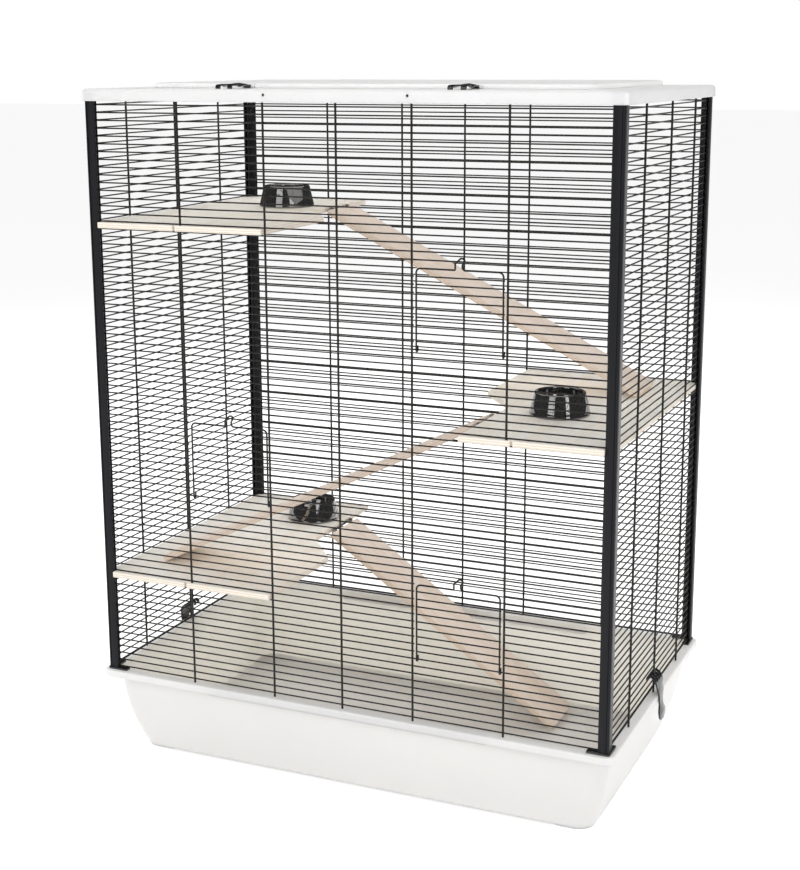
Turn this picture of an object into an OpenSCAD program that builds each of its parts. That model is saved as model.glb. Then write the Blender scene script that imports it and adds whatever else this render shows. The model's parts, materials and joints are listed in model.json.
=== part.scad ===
// Tall wire cage for small pets: a deep moulded tray, four wire walls held by corner posts,
// a moulded lid with a hatch, three wire doors, three wooden shelves, three ramps, three bowls.
// Millimetres, +Z up. The origin is the middle of the face that the tray's feet stand on.

/* [Wire walls] */
// Width over the corner posts, along X
cage_w = 764; // [720:1:840]
// Depth over the corner posts, along Y
cage_d = 458; // [430:1:520]
// Distance from one horizontal bar to the next
bar_pitch = 10.6; // [10:0.1:12]
// Number of horizontal bars in a wall
bar_rows = 78; // [72:1:90]
// Height of the lowest bar's middle above the tray's rim
first_bar = 4.9; // [4.7:0.1:6]
// Thickness of the horizontal bars
bar_d = 2; // [1.6:0.1:2.4]
// Thickness of the upright wires
upright_d = 3; // [2.4:0.1:3.4]
// Thickness of the lowest wire of the back and side walls
rail_d = 3; // [2.4:0.1:3.2]
// Distance from the middle of the cage to the outer uprights of the front and back
upright_far = 236.4; // [225:0.1:250]
// Distance from the middle of the cage to the inner uprights of the front and back
upright_near = 105.9; // [96:0.1:110]
// Distance from the middle of a side wall to its outer uprights
upright_side = 129.9; // [110:0.1:150]

/* [Corner posts] */
// Width of each leg of a post
post_leg = 15; // [14:0.5:24]
// Depth of the groove that holds the ends of the bars
groove_deep = 7; // [6:0.5:9]
// Width of that groove
groove_w = 2.6; // [2.6:0.1:3]
// Thickness of the lip on the inner side of the groove
groove_lip = 1.7; // [1.2:0.1:3]
// Radius of the outer corner of a post
post_round = 2; // [2:0.5:6]
// How far a shoe reaches beyond its post along the wall
shoe_reach = 15.5; // [8:0.5:20]
// Thickness of a shoe
shoe_t = 3; // [2:0.1:3.1]
// How far a shoe stands out from the faces of its post
shoe_proud = 1.5; // [0.5:0.5:3]

/* [Tray] */
// Height of the tray from its feet to the top of its rim
tray_h = 129; // [110:1:150]
// How far the rim stands out beyond the posts
rim_proud = 8; // [5:1:12]
// Height of the rim's outer skirt
rim_drop = 10.6; // [8:0.1:16]
// Distance from the rim's outer edge to the outside of the wall below it
wall_in = 14; // [14:1:24]
// How far the wall leans in from the rim to the floor
wall_lean = 24; // [12:1:34]
// How quickly the wall curves in towards its foot
wall_curve = 1.9; // [1.2:0.1:2.4]
// Thickness of the moulded walls and floor
tray_t = 2.5; // [2:0.1:3.5]
// Plan radius of the corners of the wall
tray_round = 27; // [16:1:40]
// Radius of the edge between the wall and the floor
tray_edge = 3; // [2:0.5:8]
// Height of the feet
foot_h = 3; // [2:0.5:6]
// Length of each foot's sides
foot_l = 52; // [30:1:80]
// Half the length of the finger ledge under the front rim
ledge_half = 213; // [120:1:260]

/* [Lid] */
// How far the lid stands out beyond the posts
lid_proud = 3.5; // [3:0.5:6]
// Height of the lid's skirt
skirt_h = 16.5; // [13:0.5:30]
// Thickness of the lid and the hatch
lid_t = 2.5; // [2:0.1:2.7]
// Radius of the lid's upper edge
lid_round = 5; // [3:0.5:6]
// Half the width of the hatch
hatch_half = 322; // [260:1:330]
// Distance from the middle of the cage to the hatch's front edge
hatch_front = 155; // [140:1:165]
// Distance from the middle of the cage to the hatch's rear edge
hatch_rear = 190; // [170:1:195]
// Height of the hatch above the lid
hatch_h = 6.5; // [5.5:0.5:9]
// How far the hatch laps over the edge of its opening
hatch_lap = 8; // [5:1:12]
// Distance from the middle of the cage to each hatch hinge and roof clip
hinge_x = 165; // [120:1:220]
// Width of each hatch hinge
hinge_w = 66; // [50:1:90]
// Thickness of the hatch's hinge pins
hinge_pin = 3; // [2:0.1:3.4]
// Distance from the middle of the cage to the round holes in the front of the skirt
hole_x = 102; // [60:1:140]
// Diameter of those holes
hole_d = 4; // [2:0.5:6]

/* [Doors] */
// Width of a door between the middles of its legs
door_w = 118.5; // [100:0.5:119]
// Height of a door in bars
door_rows = 10; // [8:1:11]
// Thickness of the door's frame wire
door_wire = 2.4; // [2:0.1:2.6]
// Radius of the bends at a door's upper corners
door_bend = 6; // [4:0.5:10]
// Bar that carries the lower right door, counted from the lowest
door_low_row = 8; // [4:1:10]
// Bar that carries the left door
door_mid_row = 26; // [20:1:26]
// Bar that carries the upper right door
door_high_row = 48; // [40:1:50]
// How far the left door has slid along its bar from the middle of its bay
door_slid = 2; // [0:0.5:2]

/* [Shelves] */
// Bar on which the lowest shelf rests
shelf_low_row = 13; // [10:1:14]
// Bar on which the middle shelf rests
shelf_mid_row = 37; // [37:1:38]
// Bar on which the highest shelf rests
shelf_high_row = 61; // [60:1:63]
// Distance from the middle of the cage to the free edge of a shelf's wide part
shelf_wide_x = 109.5; // [109.5:0.5:112]
// Distance from the middle of the cage to the free edge of a shelf's narrow part
shelf_slim_x = 172; // [165:1:185]
// Where the edge turns from the wide part, measured from the middle
shelf_turn_a = 45; // [30:1:60]
// Where the edge reaches the narrow part
shelf_turn_b = 35; // [25:1:50]
// How far the front and back edges stand out beyond the uprights
tongue = 4; // [2:0.5:6]
// Sideways distance from an upright to the slit that lets it in
slit_off = 8; // [6:0.5:12]

/* [Ramps] */
// Width of a ramp
ramp_w = 90; // [60:1:100]
// Thickness of a ramp
ramp_t = 8; // [5:0.5:10]
// Distance from the middle plane of the cage to a ramp's middle
ramp_y = 122; // [110:1:130]
// Radius of the lower corners of a ramp
ramp_round = 10; // [4:1:20]
// Level distance that the upper and middle ramps span
ramp_run = 504; // [480:1:520]
// Level distance that the lower ramp spans
ramp_low_run = 381; // [340:1:420]
// Thickness of the ramps' hinge pins
ramp_pin = 3; // [2:0.1:3.4]

/* [Bowls] */
// Diameter of a bowl's foot
bowl_foot_d = 84; // [60:1:88]
// Diameter of a bowl's rim
bowl_top_d = 68; // [50:1:74]
// Height of a bowl
bowl_h = 32; // [20:1:40]
// Wall at a bowl's rim
bowl_wall = 3; // [2:0.5:5]
// Distances of the bowl on the highest shelf from the outer faces of the left and the back wall
bowl_high_in = [145, 144];
// Distances of the bowl on the middle shelf from the outer faces of the right and the front wall
bowl_mid_in = [129, 170];
// Distances of the bowl on the lowest shelf from the outer faces of the left and the back wall
bowl_low_in = [158, 96];

/* [Clips] */
// Width of a wall clip over its four prongs
clip_w = 34; // [28:1:40]
// Room beside an upright in the gap that lets it pass between the prongs
prong_room = 0.7; // [0.5:0.1:1]
// Width of a wall clip at its waist
clip_waist = 17; // [12:1:22]
// Width of a wall clip at its finger tab
clip_tab = 32; // [18:1:34]
// Width of a roof clip over its two prongs
roof_clip_w = 26; // [22:1:32]
// Gap between the two prongs of a roof clip
roof_clip_gap = 10; // [6:1:12]
// Width of a roof clip's barrel
barrel_w = 11; // [8:1:16]
// Thickness of a clip
clip_t = 2.8; // [2:0.1:3]
// Bar that carries the wall clips
clip_row = 2; // [2:1:3]

/* [Hidden] */
$fn = 48;

// Clearance between pieces that lie against each other
seat_gap = 0.3;
// Radial clearance of a pin in its eye
pin_gap = 0.08;
// Gap that the lowest ramp leaves over the tray's floor
floor_gap = 1.6;

half_w = cage_w / 2;
half_d = cage_d / 2;
rim_z = tray_h;
mesh_h = 2 * first_bar + (bar_rows - 1) * bar_pitch;
lid_z = rim_z + mesh_h;
roof_z = lid_z + skirt_h;
// Depth of a bar's middle and of a bottom rail's middle behind the walls' outer faces
bar_in = upright_d + seat_gap + bar_d / 2;
rail_in = upright_d + seat_gap + rail_d / 2;
bar_x = half_w - bar_in;
bar_y = half_d - bar_in;
// The bars end just short of the bottom of the posts' grooves
bar_end_x = half_w - post_leg + groove_deep - seat_gap;
bar_end_y = half_d - post_leg + groove_deep - seat_gap;
upright_xs = [-upright_far, -upright_near, 0, upright_near, upright_far];
upright_ys = [-upright_side, 0, upright_side];
front_y = -half_d;
groove_in = bar_in - groove_w / 2;
post_t = groove_in + groove_w + groove_lip;
// Middle of the bay between the two uprights on each side that frames a door
bay_mid = (upright_far + upright_near) / 2;
shelf_t = bar_pitch - bar_d - 2 * seat_gap;
hatch_pin_y = hatch_rear + 4.5;
hatch_pin_z = roof_z + 4;

function row_z(i) = rim_z + first_bar + i * bar_pitch;
function shelf_top(i) = row_z(i) + bar_d / 2 + seat_gap + shelf_t;
function unit(v) = v / norm(v);
bowl_high_at = [bowl_high_in[0] - half_w, half_d - bowl_high_in[1]];
bowl_mid_at = [half_w - bowl_mid_in[0], bowl_mid_in[1] - half_d];
bowl_low_at = [bowl_low_in[0] - half_w, half_d - bowl_low_in[1]];

black = [0.06, 0.06, 0.07];
charcoal = [0.17, 0.17, 0.19];
white = [0.96, 0.96, 0.95];
cream = [0.95, 0.9, 0.83];
steel = [0.7, 0.7, 0.7];

// Outline of a level rectangle with round corners at height z, as points of a closed ring
function ring(x0, x1, y0, y1, r, z, k = 6) = [
  for (c = [[x1 - r, y1 - r, 0], [x0 + r, y1 - r, 90], [x0 + r, y0 + r, 180], [x1 - r, y0 + r, 270]])
    for (i = [0:k]) [c[0] + r * cos(c[2] + 90 * i / k), c[1] + r * sin(c[2] + 90 * i / k), z]];

// Shell through a list of rings with equal counts of points; a closed one joins last to first
module ring_shell(rings, closed = false) {
  n = len(rings[0]);
  m = len(rings);
  last = closed ? m - 1 : m - 2;
  sides = [for (j = [0:last]) for (i = [0:n - 1])
    let (a = j * n + i, b = j * n + (i + 1) % n, c = ((j + 1) % m) * n)
    each [[a, c + i, b], [b, c + i, c + (i + 1) % n]]];
  caps = closed ? [] : [[for (i = [0:n - 1]) i], [for (i = [n - 1:-1:0]) (m - 1) * n + i]];
  polyhedron([for (q = rings) each q], concat(sides, caps), convexity = 6);
}

// Strip of thickness t along a line of 2D points, as an outline
function strip(p, t) =
  let (n = len(p),
    side = [for (i = [0:n - 1])
      let (d1 = unit(p[min(i + 1, n - 1)] - p[min(i, n - 2)]),
        d0 = unit(p[max(i, 1)] - p[max(i - 1, 0)]),
        d = unit(d0 + d1))
      [-d[1], d[0]] * t / 2 / (d * d1)])
  concat([for (i = [0:n - 1]) p[i] + side[i]], [for (i = [n - 1:-1:0]) p[i] - side[i]]);

// Straight round rod from a to b
module rod(a, b, d) {
  v = b - a;
  translate(a)
    rotate([0, acos(v[2] / norm(v)), atan2(v[1], v[0])])
      cylinder(d = d, h = norm(v), $fn = 24);
}

// Turn of the line p at its point i, in degrees
function turn(p, i) = acos(min(1, max(-1, unit(p[i] - p[i - 1]) * unit(p[i + 1] - p[i]))));

// The line p with each inner corner i rounded to the radius r[i] by an arc of k steps
function rounded(p, r, k = 4) = [
  p[0],
  for (i = [1:len(p) - 2])
    let (d0 = unit(p[i] - p[i - 1]), d1 = unit(p[i + 1] - p[i]), a = turn(p, i),
      side = unit(d1 - (d1 * d0) * d0), middle = p[i] - d0 * r[i] * tan(a / 2) + side * r[i])
    each [for (j = [0:k]) middle - side * r[i] * cos(a * j / k) + d0 * r[i] * sin(a * j / k)],
  p[len(p) - 1]];

// The line p without points that repeat
function distinct(p) = [for (i = [0:len(p) - 1]) if (i == 0 || norm(p[i] - p[max(i - 1, 0)]) > 0.01) p[i]];

// Direction of the line p at its point i
function heading(p, i) =
  unit((i < len(p) - 1 ? unit(p[i + 1] - p[i]) : [0, 0, 0]) + (i > 0 ? unit(p[i] - p[i - 1]) : [0, 0, 0]));

// Sideways vectors for the rings along the line p, each turned as little as possible from the last
function sideways(p, n, i = 0) =
  let (t = heading(p, i), s = unit(n - (n * t) * t))
  i == len(p) - 1 ? [s] : concat([s], sideways(p, s, i + 1));

// Wire of diameter d along the line p, whose first side faces n
module wire(p, d, n, sides = 8) {
  s = sideways(p, n);
  ring_shell([for (i = [0:len(p) - 1])
    let (t = heading(p, i), u = cross(t, s[i]))
    [for (j = [0:sides - 1]) let (a = 360 * j / sides) p[i] + (s[i] * cos(a) + u * sin(a)) * d / 2]]);
}

// Horizontal bars along X, from x0 to x1 at depth y, for the rows a to b
module bars_x(y, x0, x1, a, b) {
  color(black)
    for (i = [a:b]) rod([x0, y, row_z(i)], [x1, y, row_z(i)], bar_d);
}

// Bars of the front wall from x0 to x1, for the rows a to b
module front_bars(x0, x1, a, b) { bars_x(-bar_y, x0, x1, a, b); }

// Upright wires at the given places
module uprights(places) {
  color(black)
    for (q = places)
      rod([q[0], q[1], rim_z + seat_gap], [q[0], q[1], lid_z + skirt_h / 3], upright_d);
}

// Deep tray: curved walls, floor, turned-down rim, four feet and a finger ledge under the rim
module tray() {
  hx = half_w + rim_proud;
  hy = half_d + rim_proud;
  floor_z = foot_h + tray_t;
  low = foot_h + tray_edge;
  high = rim_z - tray_t;
  steps = 7;
  function lean(t) = wall_lean * pow(t, wall_curve);
  function level(inset, z, r) = ring(-hx + inset, hx - inset, -hy + inset, hy - inset, r, z);
  outer = [for (i = [0:steps]) let (t = 1 - i / steps)
    level(wall_in + lean(t), low + (high - low) * (1 - t), tray_round)];
  inner = [for (i = [0:steps]) let (t = i / steps)
    level(wall_in + tray_t + lean(t), rim_z + (low + tray_t - rim_z) * t, tray_round - tray_t)];
  rings = concat(
    [for (a = [90, 60, 30]) level(wall_in + wall_lean + tray_edge * (1 - cos(a)),
      low - tray_edge * sin(a), tray_round - tray_edge * (1 - cos(a)))],
    outer,
    [level(tray_t, high, 10), level(tray_t, rim_z - rim_drop, 10), level(0, rim_z - rim_drop, 12),
      level(0, rim_z - 1.2, 12), level(1.2, rim_z, 11)],
    inner,
    [for (a = [45, 90]) level(wall_in + tray_t + wall_lean + tray_edge * (1 - cos(a)),
      low + tray_t - tray_edge * sin(a), tray_round - tray_t - tray_edge * (1 - cos(a)))]);
  color(white) {
    ring_shell(rings);
    foot_at = wall_in + wall_lean + tray_edge;
    for (sx = [-1, 1]) for (sy = [-1, 1])
      translate([sx * (hx - foot_at), sy * (hy - foot_at), 0])
        mirror([sx > 0 ? 1 : 0, 0, 0]) mirror([0, sy > 0 ? 1 : 0, 0]) foot();
    for (sy = [-1, 1])
      translate([-ledge_half, sy > 0 ? hy - wall_in - 1.6 : -hy + 3.5, rim_z - rim_drop - 4])
        cube([2 * ledge_half, wall_in - 1.9, 2.4]);
  }
}

// One foot of the tray, a low pad rooted in the floor; its outer corner lies at the origin and
// follows the corner of the floor
module foot() {
  far = tray_round - tray_edge;
  near = 8;
  corners = [[far, far, far, 180], [foot_l - near, near, near, 270],
    [foot_l - near, foot_l - near, near, 0], [near, foot_l - near, near, 90]];
  linear_extrude(foot_h + tray_t / 2)
    polygon([for (c = corners) for (i = [0:6])
      [c[0] + c[2] * cos(c[3] + 15 * i), c[1] + c[2] * sin(c[3] + 15 * i)]]);
}

// Section of a corner post, its outer corner at the origin and its legs along +X and +Y
module post_section() {
  difference() {
    union() {
      square([post_leg, post_t]);
      square([post_t, post_leg]);
    }
    translate([post_leg - groove_deep, groove_in]) square([groove_deep + 1, groove_w]);
    translate([groove_in, post_leg - groove_deep]) square([groove_w, groove_deep + 1]);
    difference() {
      translate([-1, -1]) square(post_round + 1);
      translate([post_round, post_round]) circle(r = post_round);
    }
  }
}

// Corner post on the side given by sx and sy, up to the underside of the lid
module post(sx, sy) {
  color(charcoal)
    translate([sx * half_w, sy * half_d, rim_z + shoe_t])
      mirror([sx > 0 ? 1 : 0, 0, 0]) mirror([0, sy > 0 ? 1 : 0, 0])
        linear_extrude(roof_z - lid_t - seat_gap - rim_z - shoe_t) post_section();
}

// Four L-shaped shoes on which the posts stand on the rim
module post_shoes() {
  arm = post_leg + shoe_reach;
  color(black)
    for (sx = [-1, 1]) for (sy = [-1, 1])
      translate([sx * half_w, sy * half_d, rim_z])
        mirror([sx > 0 ? 1 : 0, 0, 0]) mirror([0, sy > 0 ? 1 : 0, 0])
          translate([-shoe_proud, -shoe_proud, 0]) {
            cube([arm + shoe_proud, post_t + 2 * shoe_proud, shoe_t]);
            cube([post_t + 2 * shoe_proud, arm + shoe_proud, shoe_t]);
          }
}

// Horizontal bars of a side wall
module side_bars(sx) {
  color(black)
    for (i = [1:bar_rows - 1])
      rod([sx * bar_x, -bar_end_y, row_z(i)], [sx * bar_x, bar_end_y, row_z(i)], bar_d);
}

// Thicker lowest wires of the back and the two side walls, between the posts
module bottom_rails() {
  end_x = half_w - post_leg - seat_gap;
  end_y = half_d - post_leg - seat_gap;
  color(black) {
    rod([-end_x, half_d - rail_in, row_z(0)], [end_x, half_d - rail_in, row_z(0)], rail_d);
    for (sx = [-1, 1])
      rod([sx * (half_w - rail_in), -end_y, row_z(0)], [sx * (half_w - rail_in), end_y, row_z(0)], rail_d);
  }
}

// Wire door about the bar it hangs on: one bent wire makes the hooks round the bar, the legs and
// the sprung latch in the top, and it carries the door's own bars
module door(x, row) {
  leg = door_w / 2;
  top = door_rows * bar_pitch;
  r = bar_d / 2 + seat_gap + door_wire / 2;
  latch = [[-5.7, 0], [-5.7, 8], [1.6, 15], [5.2, 15], [7.4, 12.4], [3.8, 6.4], [4.2, 2.4], [6.6, 0]];
  path = concat(
    [[-leg, r, bar_pitch / 2], [-leg, r, -r], [-leg, -r, -r], [-leg, -r, top]],
    [for (q = latch) [q[0], -r, top + q[1]]],
    [[leg, -r, top], [leg, -r, -r], [leg, r, -r], [leg, r, bar_pitch / 2]]);
  bends = [0, r, r, door_bend, 1.5, 1.2, 2, 1.5, 1.2, 1.4, 1.4, 1, door_bend, r, r, 0];
  color(black)
    translate([x, -bar_y, row_z(row)]) {
      wire(distinct(rounded(path, bends)), door_wire, [1, 0, 0]);
      for (i = [1:door_rows - 1])
        rod([-leg - door_wire / 2, 0, i * bar_pitch], [leg + door_wire / 2, 0, i * bar_pitch], bar_d);
    }
}

// Lid: skirt round the tops of the walls, flat border, edge of the hatch opening, hinge lugs
module lid_frame() {
  hx = half_w + lid_proud;
  hy = half_d + lid_proud;
  round_r = post_round + lid_proud;
  flange = 6;
  ox = hatch_half - hatch_lap;
  oy0 = -hatch_front + hatch_lap;
  oy1 = hatch_rear - hatch_lap;
  function level(inset, z) =
    ring(-hx + inset, hx - inset, -hy + inset, hy - inset, max(round_r - inset, 1), z);
  function opening(grow, z) = ring(-ox - grow, ox + grow, oy0 - grow, oy1 + grow, 12, z);
  rings = concat(
    [level(lid_t, lid_z), level(0, lid_z)],
    [for (a = [0:22.5:90]) level(lid_round * (1 - cos(a)), roof_z - lid_round * (1 - sin(a)))],
    [opening(0, roof_z), opening(0, roof_z - flange), opening(lid_t, roof_z - flange),
      opening(lid_t, roof_z - lid_t), level(lid_t, roof_z - lid_t)]);
  color(white) {
    difference() {
      ring_shell(rings, closed = true);
      for (x = [-hole_x, hole_x])
        translate([x, -hy - 1, roof_z - lid_round - hole_d / 2])
          rotate([-90, 0, 0]) cylinder(d = hole_d, h = lid_t + 2);
    }
    for (s = [-1, 1]) for (e = [-1, 1])
      translate([s * hinge_x + e * (hinge_w / 2 - 3), hatch_pin_y, hatch_pin_z])
        hinge_eye(6, hinge_pin / 2, [0, -1]);
  }
}

// Eye of width w round a pin along X, joined to what lies beside or below it by a web
module hinge_eye(w, pin_r, web) {
  eye_r = pin_r + 2;
  difference() {
    union() {
      rotate([0, 90, 0]) cylinder(r = eye_r, h = w, center = true);
      if (web[1] < 0)
        translate([-w / 2, -eye_r, -hatch_pin_z + roof_z - 1]) cube([w, 2 * eye_r, hatch_pin_z - roof_z + 1]);
      if (web[0] < 0)
        translate([-w / 2, -hatch_pin_y + hatch_rear - 1, -1.4]) cube([w, hatch_pin_y - hatch_rear + 1, 2.8]);
    }
    rotate([0, 90, 0]) cylinder(r = pin_r + pin_gap, h = w + 2, center = true);
  }
}

// Hatch: shallow moulded cover with a turned-down edge, its hinge barrels and the clips' ears
module hatch() {
  round_r = 18;
  edge = 3.5;
  top = roof_z + hatch_h;
  under = roof_z + seat_gap;
  function level(inset, z) = ring(-hatch_half + inset, hatch_half - inset,
    -hatch_front + inset, hatch_rear - inset, round_r - inset, z);
  rings = concat(
    [level(lid_t, top - lid_t), level(lid_t, under), level(0, under)],
    [for (a = [0:22.5:90]) level(edge * (1 - cos(a)), top - edge * (1 - sin(a)))]);
  color(white) {
    ring_shell(rings);
    for (s = [-1, 1]) {
      translate([s * hinge_x, hatch_pin_y, hatch_pin_z])
        hinge_eye(hinge_w - 12 - 2 * seat_gap, hinge_pin / 2, [-1, 0]);
      for (e = [-1, 1])
        translate([s * hinge_x + e * (barrel_w / 2 + seat_gap + ear_w / 2), roof_pin_y, roof_pin_z])
          clip_ear();
    }
  }
}

// Pins of the hatch's two hinges
module hatch_hinge_pins() {
  color(steel)
    for (s = [-1, 1])
      translate([s * hinge_x, hatch_pin_y, hatch_pin_z])
        rotate([0, 90, 0]) cylinder(d = hinge_pin, h = hinge_w, center = true);
}

// Roof clips turn on short pins in front of the hatch
roof_pin_d = 2;
roof_barrel_r = 2.5;
roof_pin_y = -hatch_front - roof_barrel_r - 1.2;
roof_pin_z = roof_z + seat_gap + roof_barrel_r;
ear_w = 3.4;

// Ear on the hatch's front edge that holds one end of a roof clip's pin
module clip_ear() {
  difference() {
    union() {
      rotate([0, 90, 0]) cylinder(r = roof_barrel_r, h = ear_w, center = true);
      translate([-ear_w / 2, 0, -roof_barrel_r])
        cube([ear_w, -hatch_front - roof_pin_y + 1, 2 * roof_barrel_r - 1]);
    }
    rotate([0, 90, 0]) cylinder(r = roof_pin_d / 2 + pin_gap, h = ear_w + 2, center = true);
  }
}

// Roof clip: two prongs that stand on the lid's border, a hollow body and a barrel on its pin
module roof_clip(sx) {
  reach = half_d + lid_proud - lid_round - 3 - clip_t / 2;
  front = roof_pin_y + reach;
  skin = clip_t - 0.6;
  sole = -roof_barrel_r;
  side = [[-front - 1, sole], [-front - 1, 2], [1.6 - front, 3.4], [-front * 0.4, 5], [-14, 4.2],
    [-6, 2.8], [0, roof_barrel_r], [0, 0], [-7, sole + 0.4], [20 - front, sole + 0.4],
    [17 - front, 1], [3.6 - front, 0.4], [skin - front - 1, -0.8], [skin - front - 1, sole]];
  half = roof_clip_w / 2;
  color(black)
    translate([sx * hinge_x, roof_pin_y, roof_pin_z])
      difference() {
        union() {
          intersection() {
            rotate([90, 0, 90]) linear_extrude(roof_clip_w, center = true) polygon(side);
            translate([0, 0, -10]) linear_extrude(20)
              polygon([[-half, -front - 4], [half, -front - 4], [half, 18 - front],
                [barrel_w / 2, -6], [barrel_w / 2, 3], [-barrel_w / 2, 3], [-barrel_w / 2, -6],
                [-half, 18 - front]]);
          }
          rotate([0, 90, 0]) cylinder(r = roof_barrel_r, h = barrel_w, center = true);
        }
        rotate([0, 90, 0]) cylinder(r = roof_pin_d / 2 + pin_gap, h = barrel_w + 2, center = true);
        translate([-roof_clip_gap / 2, -front - 5, -12]) cube([roof_clip_gap, 21, 24]);
        translate([0, 0, -10]) linear_extrude(11.4)
          polygon([[skin - half, 22 - front], [half - skin, 22 - front], [barrel_w / 2 - skin, -9],
            [skin - barrel_w / 2, -9]]);
      }
}

// Pins of the two roof clips
module roof_clip_pins() {
  color(steel)
    for (s = [-1, 1])
      translate([s * hinge_x, roof_pin_y, roof_pin_z])
        rotate([0, 90, 0])
          cylinder(d = roof_pin_d, h = barrel_w + 2 * seat_gap + 2 * ear_w, center = true);
}

// Wall clip: four prongs hook a bar on both sides of an upright, and the body runs down outside
// the rim to a finger tab
module side_clip(sx) {
  hook = bar_d / 2 + seat_gap + clip_t / 2;
  rim_out = bar_in + rim_proud + seat_gap + clip_t / 2;
  drop = row_z(clip_row) - rim_z + rim_drop;
  path = [[-hook, -4.6], [-hook, 0.6], [-hook * 0.66, hook * 0.85], [0, hook], [3.2, hook * 0.85],
    [rim_out * 0.48, 0], [rim_out * 0.72, -5], [rim_out * 0.88, -11], [rim_out - 0.6, -18],
    [rim_out, -25], [rim_out, -drop], [rim_out + 1.6, -drop - 8], [rim_out + 3.6, -drop - 16],
    [rim_out + 3.4, -drop - 26]];
  foot = drop + 27;
  end_r = clip_tab / 2;
  slot = upright_d + 2 * prong_room;
  prong = (clip_w - 3 * slot) / 4;
  color(black)
    translate([sx * bar_x, 0, row_z(clip_row)])
      mirror([sx < 0 ? 1 : 0, 0, 0])
        difference() {
          intersection() {
            rotate([90, 0, 0]) linear_extrude(clip_w, center = true) polygon(strip(path, clip_t));
            rotate([0, 90, 0]) translate([0, 0, -10]) linear_extrude(rim_out + 30)
              polygon(concat(
                [[-12, -clip_w / 2], [-12, clip_w / 2], [10, clip_w / 2], [18, clip_w / 2 - 4],
                  [drop - 7, clip_waist / 2], [drop + 1, clip_waist / 2]],
                [for (a = [80:-16:-80]) [foot - end_r + end_r * cos(a), end_r * sin(a)]],
                [[drop + 1, -clip_waist / 2], [drop - 7, -clip_waist / 2],
                  [18, 4 - clip_w / 2], [10, -clip_w / 2]]));
          }
          for (k = [-1:1])
            translate([-10, k * (prong + slot) - slot / 2, -12]) cube([rim_out + 20, slot, 24]);
        }
}

// Wooden shelf for the left side, wide towards the front, resting between two bars
module shelf_board() {
  out_x = bar_x - bar_d / 2 - seat_gap;
  leg_x = half_w - post_t - seat_gap;
  tip_x = half_w - post_leg - seat_gap;
  leg_y = half_d - post_leg - seat_gap;
  mid_y = half_d - post_t - seat_gap;
  tip_y = half_d + tongue;
  color(cream)
    linear_extrude(shelf_t)
      difference() {
        polygon([[-out_x, -leg_y], [-leg_x, -leg_y], [-leg_x, -mid_y], [-tip_x, -mid_y],
          [-tip_x, -tip_y], [-shelf_wide_x, -tip_y], [-shelf_wide_x, -shelf_turn_a],
          [-shelf_slim_x, shelf_turn_b], [-shelf_slim_x, tip_y], [-tip_x, tip_y],
          [-tip_x, mid_y], [-leg_x, mid_y], [-leg_x, leg_y], [-out_x, leg_y]]);
        for (s = [-1, 1]) upright_slot(s);
      }
}

// Slot with a side leg in a shelf's edge, which lets an upright in and then hides it
module upright_slot(s) {
  w = upright_d + 2 * seat_gap;
  inner = half_d - upright_d - seat_gap;
  outer = half_d + seat_gap;
  x0 = -upright_far - slit_off - w / 2;
  x1 = -upright_far + w / 2;
  translate([x0, s > 0 ? inner : -outer - tongue]) square([w, outer - inner + tongue]);
  translate([x0, s > 0 ? inner : -outer]) square([x1 - x0, outer - inner]);
}

// Shelf on bar i; the turned one lies on the right with its wide part towards the back
module shelf(i, turned) {
  translate([0, 0, shelf_top(i) - shelf_t]) rotate([0, 0, turned ? 180 : 0]) shelf_board();
}

// A ramp hangs on a pin in front of the shelf's narrow edge and slopes down to its foot
ramp_axis = ramp_pin / 2 + 3;
shelf_rise = shelf_top(shelf_high_row) - shelf_top(shelf_mid_row);
shelf_fall = shelf_top(shelf_mid_row) - shelf_top(shelf_low_row);
floor_fall = shelf_top(shelf_low_row) - foot_h - tray_t - floor_gap;
function ramp_angle(run, drop) = atan2(drop, run);
// Length of a ramp from its pin to the end that rests on the surface below
function ramp_length(run, drop) =
  let (a = ramp_angle(run, drop)) (drop - ramp_t / 2 * (1 + cos(a)) - seat_gap) / sin(a);

// Ramp in its own frame: pin at the origin, board towards +X, top face level with the pin's
module ramp_board(length) {
  r = ramp_round;
  color(cream)
    translate([0, 0, -ramp_t / 2])
      linear_extrude(ramp_t) {
        translate([ramp_axis, -ramp_w / 2]) square([length - ramp_axis - r, ramp_w]);
        translate([length - r - 1, r - ramp_w / 2]) square([r + 1, ramp_w - 2 * r]);
        for (s = [-1, 1]) translate([length - r, s * (ramp_w / 2 - r)]) circle(r = r);
      }
}

// Places a ramp's frame at a shelf: side +1 leaves towards +X, and dy moves it along Y
module at_ramp(i, side, run, drop) {
  edge = side * (shelf_slim_x - ramp_axis);
  translate([-edge, side * ramp_y, shelf_top(i) - ramp_t / 2])
    rotate([0, 0, side > 0 ? 0 : 180])
      rotate([0, ramp_angle(run, drop), 0]) children();
}

// Two eyes screwed to the end of a ramp
module ramp_eyes() {
  color(steel)
    for (s = [-1, 1])
      translate([0, s * (ramp_w / 2 - 14), 0]) pin_eye(4);
}

// Eye of width w round a ramp pin, with a tang towards +X that ends at the wood
module pin_eye(w) {
  eye_r = ramp_pin / 2 + 1.6;
  difference() {
    union() {
      rotate([90, 0, 0]) cylinder(r = eye_r, h = w, center = true);
      translate([0, -w / 2, -1.2]) cube([ramp_axis - seat_gap / 2, w, 2.4]);
    }
    rotate([90, 0, 0]) cylinder(r = ramp_pin / 2 + pin_gap, h = w + 2, center = true);
  }
}

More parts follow.
